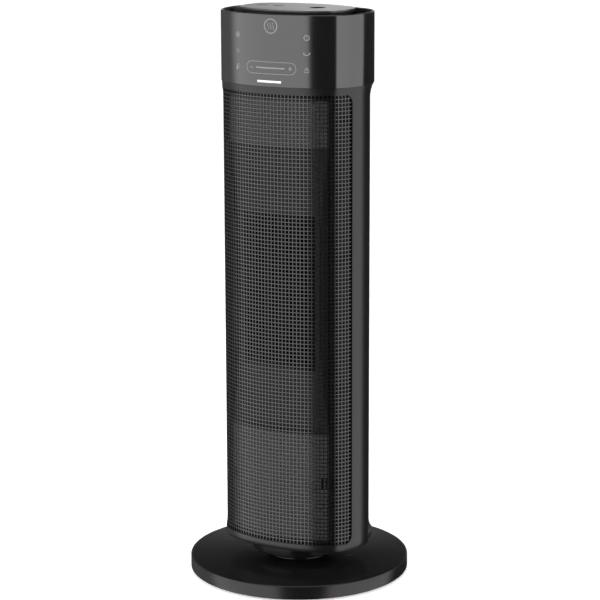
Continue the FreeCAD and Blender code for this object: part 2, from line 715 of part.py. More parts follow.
def make_tower_floor(collar_screws):
    """Tray under the tower with the swivel motor, its pinion and posts for the power board."""
    drive_x = gear_distance
    motor_bottom = gear_top + S["swivel_motor_rise"]
    stands = [rod(f"motor_stand_{side}", S["boss_radius"], (drive_x, motor_stand * side, floor_top),
                  motor_bottom - floor_top) for side in (1, -1)]
    board = board_space()
    rail_outer = board["half_width"] - 2
    rail_inner = rail_outer - S["rail_width"]
    rails = []
    for name, low, high in (("right", rail_inner, rail_outer), ("left", -rail_outer, -rail_inner)):
        rails.append(box(f"board_rail_{name}", (low, board["back"], floor_top),
                         (high, board["back"] + S["rail_depth"], board["high"] - 20)))
    sleeve = S["post_radius"] + S["running_gap"] + S["sleeve_wall"]
    hole = rod("cap_hole", sleeve, (0, 0, tower_bottom - 1), S["cap_floor"] + 2)
    cap = fuse("bottom_cap_raw", inner_plate("cap", tower_bottom, floor_top), *stands, *rails)
    board_screws = make_power_board(board)
    node("bottom_cap", cut("bottom_cap", cap, hole, collar_screws, board_screws))

    can = rod("swivel_motor_can", S["swivel_motor_radius"], (drive_x, 0, motor_bottom),
              S["swivel_motor_height"])
    ear_x = S["ear_half_width"]
    ear_y = motor_stand + S["boss_radius"]
    ears = box("swivel_motor_ears", (drive_x - ear_x, -ear_y, motor_bottom),
               (drive_x + ear_x, ear_y, motor_bottom + S["ear_thickness"]))
    shaft_top = motor_bottom + S["swivel_motor_height"] / 2
    bore = rod("swivel_motor_bore", S["pinion_shaft"] + S["running_gap"], (drive_x, 0, motor_bottom - 1),
               shaft_top - motor_bottom + 1.5)
    node("swivel_motor", cut("swivel_motor", fuse("swivel_motor_raw", can, ears), bore))

    half_pitch = FULL_TURN / (2 * S["pinion_teeth"].value)
    wheel = gear("pinion_wheel", S["pinion_teeth"], None, gear_bottom, S["gear_thickness"],
                 (drive_x, 0, 0), half_pitch)
    shaft = rod("pinion_shaft_rod", S["pinion_shaft"], (drive_x, 0, gear_bottom), shaft_top - gear_bottom)
    node("drive_pinion", fuse("drive_pinion", wheel, shaft))


def board_space():
    """Where the power board stands."""
    low = gear_top + S["swivel_motor_height"] + S["power_board_rise"]
    back = motor_stand + S["boss_radius"] + S["fit_gap"]
    half_width = S["body_half_width"] - S["power_board_side"]
    return {"low": low, "high": low + S["power_board_height"], "back": back, "half_width": half_width}


def make_power_board(space):
    """Upright mains board with its components facing forwards."""
    face = space["back"] - S["board_thickness"]
    seats = []
    for side in (1, -1):
        for rise in (10, 50):
            seats.append(((space["half_width"] - 6) * side, face, space["low"] + rise))
    screws = screw_set("board_screws", seats, BACKWARD, S["board_thickness"] + 5)
    board = wide_box("power_board_sheet", space["half_width"], (face, space["back"]),
                     (space["low"], space["high"]))
    node("power_board", cut("power_board", board, screws))
    low = space["low"]
    parts = [
        box("relay_left", (-30, face - 15, low + 8), (-11, face, low + 28)),
        box("relay_right", (-6, face - 15, low + 8), (13, face, low + 28)),
        box("transformer", (-28, face - 22, low + 40), (2, face, low + 68)),
        box("terminal_block", (18, face - 12, low + 8), (30, face, low + 34)),
        box("heat_sink", (12, face - 18, low + 44), (30, face, low + 72)),
        rod("capacitor", 6, (7, face, low + 36), 18, FORWARD),
    ]
    node("board_parts", group("board_parts", *parts))
    return screws


def opening_block(name, grow):
    """The volume in front of the grille's edge, with rounded rear corners, grown all round."""
    grow = as_size(grow)
    radius = S["grille_corner"] + grow
    back = grow - S["grille_wrap"]
    low = opening_low - grow
    high = opening_high + grow
    centre_y = back - radius
    corners = [rod(f"{name}_corner_{number}", radius, (-FAR, centre_y, height), FAR * 2, ALONG_X)
               for number, height in enumerate((low + radius, high - radius), start=1)]
    return fuse(name, wide_box(f"{name}_tall", FAR, (-FAR, centre_y), (low, high)),
                wide_box(f"{name}_deep", FAR, (-FAR, back), (low + radius, high - radius)), *corners)


def make_front():
    """Front casing, the grille in its opening and the clips behind it."""
    wall = S["shell_wall"]
    ring = oval_ring("front_wall", ZERO, wall, tower_bottom, seam)
    front_half = wide_box("front_half", FAR, (-FAR, S["parting_y"]), (tower_bottom - 1, seam + 1))
    rebate_depth = S["grille_inset"] - S["tuck_gap"] / 2
    rebate = common("grille_rebate", opening_block("rebate_block", S["grille_tuck"]),
                    oval("rebate_oval", rebate_depth, tower_bottom, seam))
    node("front_frame", cut("front_frame", common("front_shell", ring, front_half),
                            opening_block("opening_block", ZERO), rebate))
    sheet_back = S["grille_inset"] + S["grille_thickness"]
    sheet_ring = oval_ring("grille_sheet", S["grille_inset"], sheet_back, tower_bottom, seam)
    node("front_grille", common("front_grille", sheet_ring,
                                opening_block("grille_block", S["grille_tuck"] - S["tuck_gap"])))
    spacing = (opening_high - opening_low - S["clip_margin"] * 2) / 3
    clip_front = -S["grille_wrap"] - S["clip_width"] - 3
    blocks = []
    for number in range(4):
        middle = opening_low + S["clip_margin"] + spacing * number
        blocks.append(wide_box(f"clip_block_{number}", FAR, (clip_front, clip_front + S["clip_width"]),
                               (middle - S["clip_height"] / 2, middle + S["clip_height"] / 2)))
    clip_ring = oval_ring("clip_ring", sheet_back, S["guide_inset"], tower_bottom, seam)
    node("grille_clips", common("grille_clips", clip_ring, group("clip_blocks", *blocks)))


def waisted_block(name, grow, front, back):
    """The recess outline, straight at its ends and bowed in at its sides, pushed along Y."""
    grow = as_size(grow)
    end = recess_end_x + grow
    low = recess_low - grow
    high = recess_high + grow
    half = (high - low) / 2
    bow = S["recess_waist"]
    radius = (half * half + bow * bow) / (bow * 2)
    sketch = doc.addObject("Sketcher::SketchObject", f"{name}_outline")
    waist = end.value - bow.value
    middle = (low.value + high.value) / 2
    spread = math.asin(half.value / radius.value)
    corners = {(sx, sz): Vector(sx * end.value, middle + sz * half.value, 0)
               for sx in (-1, 1) for sz in (-1, 1)}
    sketch.addGeometry(Part.LineSegment(corners[(-1, -1)], corners[(1, -1)]), False)
    right = Part.Circle(Vector(waist + radius.value, middle, 0), UP, radius.value)
    sketch.addGeometry(Part.ArcOfCircle(right, math.pi - spread, math.pi + spread), False)
    sketch.addGeometry(Part.LineSegment(corners[(1, 1)], corners[(-1, 1)]), False)
    left = Part.Circle(Vector(-waist - radius.value, middle, 0), UP, radius.value)
    sketch.addGeometry(Part.ArcOfCircle(left, -spread, spread), False)
    for first, end_a, second, end_b in ((0, 2, 1, 2), (1, 1, 2, 1), (2, 2, 3, 2), (3, 1, 0, 1)):
        sketch.addConstraint(Sketcher.Constraint("Coincident", first, end_a, second, end_b))
    for index, pos, sign, height in ((0, 1, -1, low), (0, 2, 1, low), (2, 1, 1, high), (2, 2, -1, high)):
        across = end * sign
        dimension(sketch, Sketcher.Constraint("DistanceX", -1, 1, index, pos, across.value), across)
        dimension(sketch, Sketcher.Constraint("DistanceY", -1, 1, index, pos, height.value), height)
    for index in (1, 3):
        dimension(sketch, Sketcher.Constraint("Radius", index, radius.value), radius)
    place(sketch, (0, back, 0))
    sketch.Placement.Rotation = Rotation(ALONG_X, 90)
    solid = doc.addObject("Part::Extrusion", name)
    solid.Base = sketch
    solid.DirMode = "Custom"
    solid.Dir = FORWARD
    solid.Solid = True
    bind(solid, "LengthFwd", back - front)
    return solid


def make_air_guide(case_screws):
    """Panel behind the grille: near the grille at its ends, set back round the air window."""
    wall = S["guide_wall"]
    back_face = S["guide_inset"] + wall
    edge = -S["grille_wrap"] + S["grille_tuck"] + 1
    front = -S["body_half_depth"]
    skin = common("guide_skin", oval_ring("guide_ring", S["guide_inset"], back_face, floor_top,
                                          top_plate_bottom),
                  wide_box("guide_front_half", FAR, (-FAR, edge + S["guide_flange"]), (0, rim)))
    flange = common("guide_flanges", oval_ring("flange_ring", S["shell_wall"], back_face, floor_top,
                                               top_plate_bottom),
                    wide_box("flange_box", FAR, (edge, edge + S["guide_flange"]), (0, rim)))
    recess = waisted_block("recess_block", ZERO, front, recess_back + 1)
    walls = cut("recess_walls", waisted_block("recess_shell", wall, front, recess_back),
                waisted_block("recess_hollow", ZERO, front - 1, recess_back + 1))
    floor = waisted_block("recess_floor_plate", ZERO, recess_floor, recess_back)
    limit = oval("guide_limit", S["guide_inset"], floor_top, top_plate_bottom)
    inside = common("recess_parts", fuse("recess_raw", walls, floor), limit)
    window = wide_box("window_block", window_x, (-FAR, recess_back + 1), (window_low, window_high))
    bosses = []
    reach = S["parting_y"] + S["body_half_depth"]
    for number, (x, height) in enumerate(case_screw_spots(), start=1):
        boss = rod(f"guide_boss_{number}", S["boss_radius"], (x, -S["body_half_depth"], height), reach,
                   BACKWARD)
        within = oval(f"guide_boss_limit_{number}", back_face - 0.5, floor_top, top_plate_bottom)
        bosses.append(common(f"guide_boss_trim_{number}", boss, within))
    slots = []
    low = opening_low + S["vent_slot_rise"]
    for side in (1, -1):
        for number in range(4):
            x = (recess_end_x - 8 + S["vent_slot_pitch"] * number) * side
            half = S["vent_slot_width"] / 2
            slots.append(box(f"vent_slot_{'right' if side > 0 else 'left'}_{number}", (x - half, -FAR, low),
                             (x + half, edge - 4, low + S["vent_slot_height"])))
    body = fuse("air_guide_body", cut("guide_skin_open", skin, recess), flange, inside, *bosses)
    node("air_guide", cut("air_guide", body, window, group("vent_slots", *slots), case_screws))

    guard_front = recess_back - S["guard_thickness"]
    guard = wide_box("guard_sheet", window_x, (guard_front, recess_back), (window_low, window_high))
    rows = int((window_high.value - window_low.value - 4) / S["guard_pitch"].value)
    start = (window_low + window_high - S["guard_pitch"] * rows) / 2
    margin = (S["guard_pitch"] - S["guard_slot"]) / 2
    gaps = []
    for row in range(rows):
        low = start + S["guard_pitch"] * row + margin
        gaps.append(wide_box(f"guard_gap_{row}", window_x - 3, (guard_front - 1, recess_back + 1),
                             (low, low + S["guard_slot"])))
    bars = [wide_box("guard_bar_middle", 1, (guard_front, recess_back), (window_low, window_high))]
    for side in (1, -1):
        x = window_x * 0.5 * side
        bars.append(box(f"guard_bar_{'right' if side > 0 else 'left'}", (x - 1, guard_front, window_low),
                        (x + 1, recess_back, window_high)))
    node("outlet_guard", fuse("outlet_guard", cut("guard_slotted", guard, group("guard_gaps", *gaps)), *bars))


def case_screw_spots():
    """Side and height of each screw that holds the casing halves."""
    for height in (tower_bottom + 110, (recess_low + recess_high) / 2, top_plate_bottom - 40):
        for side in (1, -1):
            yield case_screw_x * side, height


def zigzag(name, left, right, low, high, front, back):
    """A folded fin between two upright faces, as one bent strip."""
    folds = 2 * int((high - low) / S["fin_pitch"].value)
    thickness = S["fin_thickness"].value
    step = (high - low - thickness) / folds
    nook = thickness * (right - left) / (2 * step)
    right_side = [(left, low)]
    left_side = [(left, low + thickness)]
    for fold in range(1, folds):
        level = low + step * fold
        if fold % 2:
            right_side += [(right, level), (right, level + thickness)]
            left_side.append((right - nook, level + thickness / 2))
        else:
            right_side.append((left + nook, level + thickness / 2))
            left_side += [(left, level), (left, level + thickness)]
    right_side.append((left, high))
    left_side.append((left, high - thickness))
    loop = [Vector(x, front, z) for x, z in right_side + left_side[::-1] + right_side[:1]]
    fin = doc.addObject("Part::Feature", name)
    fin.Shape = Part.Face(Part.makePolygon(loop)).extrude(Vector(0, back - front, 0))
    return fin


def make_heater():
    """Heater frame with upright heating tubes, folded fins, terminals and a thermal cut-out."""
    rim_width = S["heater_rim"]
    outer = wide_box("heater_outer", heater_x, (recess_back, heater_back),
                     (window_low - rim_width, window_high + rim_width))
    inner = wide_box("heater_inner", window_x, (recess_back - 1, heater_back + 1),
                     (window_low, window_high))
    node("heater_frame", cut("heater_frame", outer, inner))
    tube_count = int(S["tube_count"].value)
    pitch = window_x * 2 / tube_count
    front = recess_back + S["tube_inset"]
    back = heater_back - S["tube_inset"]
    half = S["tube_half_width"]
    tubes = []
    edges = [-window_x]
    for number in range(tube_count):
        middle = pitch * (number + 0.5) - window_x
        tubes.append(box(f"heating_tube_{number}", (middle - half, front, window_low),
                         (middle + half, back, window_high)))
        edges += [middle - half, middle + half]
    edges.append(window_x)
    node("heater_tubes", group("heater_tubes", *tubes))
    fins = []
    for number in range(0, len(edges), 2):
        fins.append(zigzag(f"fin_{number // 2}", edges[number].value, edges[number + 1].value,
                           window_low.value, window_high.value, front.value, back.value))
    node("heater_fins", group("heater_fins", *fins))
    top = window_high + rim_width
    tab_x = S["terminal_half_width"]
    tabs = []
    for number in range(tube_count - 1):
        x = pitch * (number + 1 - tube_count / 2)
        tabs.append(box(f"terminal_{number}", (x - tab_x, front + 8, top),
                        (x + tab_x, front + 9, top + S["terminal_height"])))
    node("heater_terminals", group("heater_terminals", *tabs))
    bottom = window_low - rim_width
    node("thermal_cutout", box("thermal_cutout", (-9, front + 4, bottom - 7), (9, front + 14, bottom)))


def make_blower():
    """Cross-flow blower behind the heater: housing, wheel, shaft, bush and motor."""
    wall = S["blower_wall"]
    end = S["blower_end"]
    low = blower_low - end
    high = blower_high + end
    outer = fuse("blower_outer", wide_box("duct_outer", heater_x, (heater_back, wheel_y), (low, high)),
                 rod("scroll_outer", housing_radius, (0, wheel_y, low), high - low))
    hollow = fuse("blower_hollow",
                  wide_box("duct_hollow", heater_x - wall, (heater_back - 1, wheel_y - wall),
                           (blower_low, blower_high)),
                  rod("scroll_hollow", wheel_room, (0, wheel_y, blower_low), blower_high - blower_low))
    inlet = wide_box("scroll_inlet", wheel_room * 0.7, (wheel_y, FAR), (blower_low, blower_high))
    bush_hole = rod("bush_hole", S["bush_radius"], (0, wheel_y, low - 1), end + 2)
    motor_hole = rod("motor_hole", S["shaft_radius"] * 2, (0, wheel_y, blower_high - 1), end + 2)
    seats = [((heater_x - 6) * side, heater_back + 8, high) for side in (1, -1)]
    screws = screw_set("blower_screws", seats, DOWN, end + 6)
    lug_outer = heater_x - 2
    lug_inner = heater_x - 14
    tabs = [box(f"blower_lug_{name}", (low_x, heater_back, blower_high - 8),
                (high_x, heater_back + 13, blower_high))
            for name, low_x, high_x in (("right", lug_inner, lug_outer), ("left", -lug_outer, -lug_inner))]
    shell = cut("blower_shell", outer, hollow, inlet, bush_hole, motor_hole)
    node("blower_housing", cut("blower_housing", fuse("blower_with_lugs", shell, *tabs), screws))

    bush_low = blower_low - S["bush_height"] + 2
    node("wheel_bush", turned("wheel_bush", [
        (S["shaft_radius"] + S["running_gap"], bush_low), (S["bush_radius"], bush_low),
        (S["bush_radius"], blower_low), (S["shaft_radius"] + S["running_gap"], blower_low)],
        (0, wheel_y, 0)))

    motor_low = high
    motor_high = high + S["motor_height"]
    motor_wall = S["motor_wall"]
    radius = S["motor_radius"]
    shaft_hole = S["shaft_radius"] + S["running_gap"]
    node("blower_motor", turned("blower_motor", [
        (shaft_hole, motor_low), (radius, motor_low), (radius, motor_high), (shaft_hole, motor_high),
        (shaft_hole, motor_high - motor_wall), (radius - motor_wall, motor_high - motor_wall),
        (radius - motor_wall, motor_low + motor_wall), (shaft_hole, motor_low + motor_wall)],
        (0, wheel_y, 0)))
    rotor_radius = radius - motor_wall - 2
    node("motor_rotor", turned("motor_rotor", [
        (S["shaft_radius"], motor_low + motor_wall + 2), (rotor_radius, motor_low + motor_wall + 2),
        (rotor_radius, motor_high - motor_wall - 2), (S["shaft_radius"], motor_high - motor_wall - 2)],
        (0, wheel_y, 0)))
    node("blower_shaft", rod("blower_shaft", S["shaft_radius"], (0, wheel_y, bush_low - 1),
                             motor_high - bush_low + 3))
    node("blower_wheel", make_wheel())


def make_wheel():
    """Two end discs joined by a ring of slanted blades."""
    low = blower_low + S["wheel_end_gap"]
    high = blower_high - S["wheel_end_gap"]
    body = doc.addObject("PartDesign::Body", "blower_wheel")
    bottom = body_sketch(body, "wheel_bottom", lift=low)
    circle(bottom, wheel_radius)
    circle(bottom, S["shaft_radius"])
    pad(body, "wheel_bottom_disc", bottom, S["wheel_disc"])
    blade = body_sketch(body, "wheel_blade", lift=low)
    outer = wheel_radius - 0.5
    inner = outer - S["blade_depth"]
    lean = S["blade_lean"]
    outline(blade, [(inner, ZERO), (outer, lean), (outer, S["blade_thickness"] + lean),
                    (inner, S["blade_thickness"])])
    blade_pad = pad(body, "wheel_blade_pad", blade, high - low)
    doc.recompute()
    polar(body, "wheel_blades", blade_pad, blade, S["blade_count"].value)
    doc.recompute()
    top = body_sketch(body, "wheel_top", lift=high - S["wheel_disc"])
    circle(top, wheel_radius)
    circle(top, S["shaft_radius"])
    body.Tip = pad(body, "wheel_top_disc", top, S["wheel_disc"])
    place(body, (0, wheel_y, 0))
    return body


def cove(start, end, steps):
    """Heights and insets of a hollow curve from the rear wall out to full size."""
    rise = end - start
    depth = S["rear_inset"]
    span = abs(rise.value)
    radius = (span ** 2 + depth.value ** 2) / (2 * depth.value)
    for step in range(steps + 1):
        part = step / steps
        out = (radius - math.sqrt(radius ** 2 - (span * part) ** 2)) / depth.value
        yield start + rise * part, depth * (1 - round(out, 6))


def rear_outer():
    """Outside of the rear casing: rounded foot, flare, long set-back wall and cove."""
    flare_start = tower_bottom + S["foot_round"] + S["cove_low"]
    steps = 4
    sections = []
    for step in range(steps + 1):
        part = step / steps
        depth = S["foot_round_depth"] * round(1 - math.sqrt(1 - (1 - part) ** 2), 6)
        sections.append((tower_bottom + S["foot_round"] * part, depth))
    sections += list(cove(flare_start, tower_bottom + S["foot_round"], steps))[-2::-1]
    sections += list(cove(seam - S["cove_high"], seam, steps))
    sketches = [oval_sketch(f"rear_section_{number}", inset, height)
                for number, (height, inset) in enumerate(sections)]
    loft = doc.addObject("Part::Loft", "rear_outer")
    loft.Sections = sketches
    loft.Solid = True
    loft.Ruled = True
    return loft


def make_rear():
    """Rear casing with its lip, inlet and filter cover, gland and mains rocker."""
    parting = S["parting_y"]
    rear_half = wide_box("rear_half", FAR, (parting, FAR), (0, rim))
    lip = common("rear_lip", oval_ring("lip_ring", S["shell_wall"], rear_inner_inset, tower_bottom, seam),
                 wide_box("lip_box", FAR, (parting - S["lip_length"], parting + 1), (0, rim)))
    hollow = oval("rear_hollow", rear_inner_inset, tower_bottom - 1, seam + 1)
    shell = cut("rear_shell", common("rear_solid", rear_outer(), rear_half), hollow)
    inlet_x = S["inlet_half_width"]
    inlet = wide_box("inlet_block", inlet_x, (parting + 5, FAR), (recess_low, recess_high))
    behind = rear_inner_inset + S["fit_gap"]
    ledge_back = behind + S["ledge_thickness"]
    ledge_outer = inlet_x + S["ledge_width"]
    ledge_inner = inlet_x - S["ledge_width"]
    ledges = []
    for name, front_inset, start in (("ledge", behind, ledge_inner), ("root", rear_inner_inset, inlet_x)):
        zones = [box(f"{name}_zone_{side}", (low, parting + 5, recess_low), (high, FAR, recess_high))
                 for side, low, high in (("right", start, ledge_outer), ("left", -ledge_outer, -start))]
        ring = oval_ring(f"{name}_ring", front_inset, ledge_back, recess_low, recess_high)
        ledges.append(common(name, ring, group(f"{name}_zones", *zones)))
    bosses = []
    pits = []
    seats = []
    seat_y = parting + 16
    for number, (x, height) in enumerate(case_screw_spots(), start=1):
        boss = rod(f"case_boss_{number}", S["boss_radius"] + 1, (x, parting, height), FAR, BACKWARD)
        bosses.append(common(f"case_boss_trim_{number}", boss,
                             oval(f"case_boss_limit_{number}", rear_inner_inset - 0.5, tower_bottom, seam)))
        pits.append(rod(f"case_pit_{number}", S["screw_head_radius"] + 0.5, (x, seat_y, height), FAR,
                        BACKWARD))
        seats.append((x, seat_y, height))
    case_screws = screw_set("housing_screws", seats, FORWARD, seat_y + 12)
    gland_z = tower_bottom + S["gland_rise"]
    rocker_z = tower_bottom + S["rocker_rise"]
    rear_y = S["body_half_depth"] - S["rear_inset"]
    gland_hole = rod("gland_hole", S["gland_radius"] - 2, (0, parting + 5, gland_z), FAR, BACKWARD)
    bezel_x = S["rocker_half_width"] + 2
    bezel_z = S["rocker_half_height"] + 3
    rocker_hole = wide_box("rocker_hole", bezel_x, (parting + 5, FAR),
                           (rocker_z - bezel_z, rocker_z + bezel_z))
    raw = fuse("rear_raw", cut("rear_open", shell, inlet), lip, *ledges, *bosses)
    node("rear_housing", cut("rear_housing", raw, group("case_pits", *pits), case_screws, gland_hole,
                             rocker_hole))

    flange = rod("gland_flange", S["gland_radius"], (0, rear_y, gland_z), 3, BACKWARD)
    barrel = rod("gland_barrel", S["gland_radius"] - 2, (0, rear_y - 8, gland_z), 9, BACKWARD)
    bore = rod("gland_bore", S["gland_bore"], (0, rear_y - 9, gland_z), 15, BACKWARD)
    node("cord_gland", cut("cord_gland", fuse("gland_raw", flange, barrel), bore))
    make_rocker(rear_y, rocker_z, bezel_x, bezel_z)
    make_filter_cover()
    return case_screws


def make_rocker(rear_y, rocker_z, bezel_x, bezel_z):
    """Mains switch: a bezel with its case, and a rocker tilted about a cross axis."""
    half_x = S["rocker_half_width"]
    half_z = S["rocker_half_height"]
    gap = S["fit_gap"]
    axis_y = rear_y - 0.5
    axle_x = half_x + S["rocker_axle_reach"]
    case = wide_box("rocker_case", bezel_x, (rear_y - S["rocker_case_depth"], rear_y),
                    (rocker_z - bezel_z, rocker_z + bezel_z))
    bezel = wide_box("rocker_bezel", bezel_x + 2, (rear_y, rear_y + 1.5),
                     (rocker_z - bezel_z - 2, rocker_z + bezel_z + 2))
    well = wide_box("rocker_well", half_x + gap, (rear_y - 7, rear_y + 3),
                    (rocker_z - half_z - 1, rocker_z + half_z + 1))
    bearing_x = axle_x + S["swivel_gap"]
    bearing = rod("rocker_bearing", S["rocker_axle_radius"] + S["running_gap"],
                  (-bearing_x, axis_y, rocker_z), bearing_x * 2, ALONG_X)
    node("rocker_frame", cut("rocker_frame", fuse("rocker_frame_raw", case, bezel), well, bearing))
    tilt = S["rocker_tilt"].value
    paddle = wide_box("rocker_paddle", half_x, (-1.5, 2.5), (-half_z, half_z))
    heel = wide_box("rocker_heel", half_x, (-3.5, 1), (-3, 3))
    axle = rod("rocker_axle", S["rocker_axle_radius"], (-axle_x, 0, 0), axle_x * 2, ALONG_X)
    rocker = fuse("mains_rocker", paddle, heel, axle)
    rocker.Placement = Placement(Vector(0, axis_y.value, rocker_z.value), Rotation(ALONG_X, tilt))
    rocker.setExpression("Placement.Base.y", axis_y.text)
    rocker.setExpression("Placement.Base.z", rocker_z.text)
    node("mains_rocker", rocker)


def make_filter_cover():
    """Louvred cover in the rear inlet with the dust filter behind it."""
    gap = S["fit_gap"]
    half_x = S["inlet_half_width"] - gap
    low = recess_low + gap
    high = recess_high - gap
    sheet_ring = oval_ring("cover_ring", S["rear_inset"], rear_inner_inset, recess_low, recess_high)
    sheet_box = wide_box("cover_box", half_x, (S["parting_y"] + 5, FAR), (low, high))
    border = S["cover_border"]
    rows = int((high.value - low.value - 2 * border.value) / S["louvre_pitch"].value)
    start = (low + high - S["louvre_pitch"] * rows) / 2
    margin = (S["louvre_pitch"] - S["louvre_slot"]) / 2
    slots = []
    slot_end = half_x - border
    rib = as_size(2)
    for row in range(rows):
        bottom = start + S["louvre_pitch"] * row + margin
        for side, left, right in (("right", rib, slot_end), ("left", -slot_end, -rib)):
            slots.append(box(f"louvre_{row}_{side}", (left, 0, bottom),
                             (right, FAR, bottom + S["louvre_slot"])))
    cover = common("cover_sheet", sheet_ring, sheet_box)
    node("filter_cover", cut("filter_cover", cover, group("louvre_slots", *slots)))
    pad_ring = oval_ring("filter_ring", rear_inner_inset, rear_inner_inset + S["filter_thickness"],
                         recess_low, recess_high)
    pad_x = half_x - S["ledge_width"] - gap
    pad_box = wide_box("filter_box", pad_x, (S["parting_y"] + 5, FAR), (low + 4, high - 4))
    node("dust_filter", common("dust_filter", pad_ring, pad_box))


def make_head():
    """Head shell, its boards, the recessed deck, the lid and what stands in the lid."""
    skin = -S["head_proud"]
    inner = S["shell_wall"] - S["head_proud"]
    node("head_shell", oval_ring("head_shell", skin, inner, seam, rim))
    board_back = S["control_setback"] - S["body_half_depth"]
    board_low = seam + 10
    board_high = deck_bottom - 6
    board_x = S["body_half_width"] - S["control_side"]
    foot_x = board_x - 12
    feet = []
    for side in (1, -1):
        x = foot_x * side
        feet.append(box(f"board_foot_{side}", (x - 3, board_back, seam - 1),
                        (x + 3, board_back + 8, board_high - 8)))
    loom_x = S["loom_side"] - S["body_half_width"]
    loom_hole = rod("loom_hole", S["loom_radius"] + 1, (loom_x, S["loom_y"], top_plate_bottom - 1),
                    S["cap_floor"] + 3)
    plate_raw = fuse("top_plate_raw", inner_plate("top", top_plate_bottom, seam), *feet)
    node("top_plate", cut("top_plate", plate_raw, loom_hole))
    board_front = board_back - S["board_thickness"]
    node("control_board", wide_box("control_board", board_x, (board_front, board_back),
                                   (board_low, board_high)))
    middle = (board_low + board_high) / 2
    display_z = S["display_half_height"]
    node("display_module", wide_box("display_module", S["display_half_width"],
                                    (board_front - S["display_depth"], board_front),
                                    (middle - display_z, middle + display_z)))
    film = oval_ring("film_ring", inner, inner + S["film_thickness"], seam + 12, deck_bottom - 4)
    film_box = wide_box("film_box", board_x + 4, (-FAR, -S["grille_wrap"]), (seam, rim))
    node("touch_sensor", common("touch_sensor", film, film_box))

    deck = oval("deck_floor", inner, deck_bottom, deck_top)
    pedestal_inner = S["pedestal_inset"] + S["pedestal_wall"]
    pedestal = oval_ring("pedestal", S["pedestal_inset"], pedestal_inner, deck_top - 0.5, lid_bottom)
    post_rise = 2.3
    post_sink = 0.5
    left_post = 1.5 - S["mode_button_x"]
    right_post = S["eye_x"] + 4
    posts = [rod(f"button_post_{number}", 3, (x, y, deck_top - post_sink), post_sink + post_rise)
             for number, (x, y) in enumerate((x, y) for x in (left_post, right_post) for y in (8, -8))]
    node("top_deck", fuse("top_deck", deck, pedestal, *posts))
    button_low = deck_top + post_rise
    plate = box("button_sheet", (left_post - 8, -11, button_low),
                (right_post + 8, 11, button_low + S["board_thickness"]))
    brim_depth = 4.5
    switch_high = lid_bottom - brim_depth - S["button_travel"] - 0.3
    switches = [box(f"switch_{number}", (x - 3, -3, button_low + 1), (x + 3, 3, switch_high))
                for number, x in enumerate((-S["mode_button_x"], -S["timer_button_x"]))]
    receiver = box("receiver", (S["eye_x"] - 3, -3, button_low + 1),
                   (S["eye_x"] + 3, 3, lid_bottom - 4))
    node("button_board", fuse("button_board", plate, receiver, *switches))

    gap = S["fit_gap"]
    holes = []
    for name, x in (("mode_button", -S["mode_button_x"]), ("timer_button", -S["timer_button_x"])):
        cap = rod(f"{name}_cap", S["button_radius"] - gap, (x, 0, lid_bottom - 3),
                  S["lid_thickness"] + S["button_proud"] + 3)
        brim = rod(f"{name}_brim", S["button_radius"] + 1.5, (x, 0, lid_bottom - brim_depth),
                   brim_depth - gap)
        node(name, fuse(name, cap, brim))
        holes.append(rod(f"{name}_hole", S["button_radius"], (x, 0, lid_bottom - 1),
                         S["lid_thickness"] + 2))
    holes.append(rod("eye_hole", S["eye_radius"], (S["eye_x"], 0, lid_bottom - 1),
                     S["lid_thickness"] + 2))
    node("remote_window", rod("remote_window", S["eye_radius"], (S["eye_x"], 0, lid_bottom),
                              S["lid_thickness"]))
    node("top_lid", cut("top_lid", oval("lid_block", S["lid_inset"], lid_bottom, lid_top), *holes))


def make_loom():
    """Bundle of wires from the power board up to the head."""
    space = board_space()
    radius = S["loom_radius"].value
    side = S["loom_side"] - S["body_half_width"]
    low = space["low"] + S["loom_start"]
    high = seam + S["loom_end"]
    control_x = S["control_side"] - S["body_half_width"] + 4
    control_y = S["control_setback"] - S["body_half_depth"] + radius
    board_y = space["back"] - S["board_thickness"] - radius - 1
    route = [(-space["half_width"], board_y, low), (side, S["loom_y"], low), (side, S["loom_y"], high),
             (control_x, control_y, high)]
    points = [Vector(*[as_size(part).value for part in point]) for point in route]
    loom = Part.makeSphere(radius, points[0])
    for start, stop in zip(points, points[1:]):
        run = stop - start
        loom = loom.fuse(Part.makeCylinder(radius, run.Length, start, run))
        loom = loom.fuse(Part.makeSphere(radius, stop))
    bundle = doc.addObject("Part::Feature", "wire_loom")
    bundle.Shape = loom
    node("wire_loom", bundle)


def make_tip_switch():
    """Plunger that rests on the floor, its spring and the switch above it."""
    y = S["tip_offset"]
    brim_low = plate_top + S["tip_travel"] + 0.5
    foot = rod("plunger_foot", S["tip_radius"], (0, y, 0), brim_low)
    brim = rod("plunger_brim", S["tip_radius"] + 1.5, (0, y, brim_low), 1)
    node("tip_plunger", fuse("tip_plunger", foot, brim))
    spring_low = brim_low + 1
    wire = S["spring_wire"].value
    spring_radius = S["spring_radius"].value
    height = skin_bottom.value - spring_low.value - 2 * wire
    coil = Part.makeHelix(height / S["spring_turns"].value, height, spring_radius)
    profile = Part.Wire([Part.Circle(Vector(spring_radius, 0, 0), BACKWARD, wire).toShape()])
    pipe = Part.Wire(coil).makePipeShell([profile], True, True)
    spring = doc.addObject("Part::Feature", "tip_spring")
    spring.Shape = pipe
    place(spring, (0, y, spring_low + wire))
    node("tip_spring", spring)
    switch_x = S["tip_switch_half_width"]
    switch_back = y - S["tip_switch_gap"]
    node("tip_switch", box("tip_switch", (-switch_x, switch_back - S["tip_switch_depth"], plate_top),
                           (switch_x, switch_back, skin_bottom)))


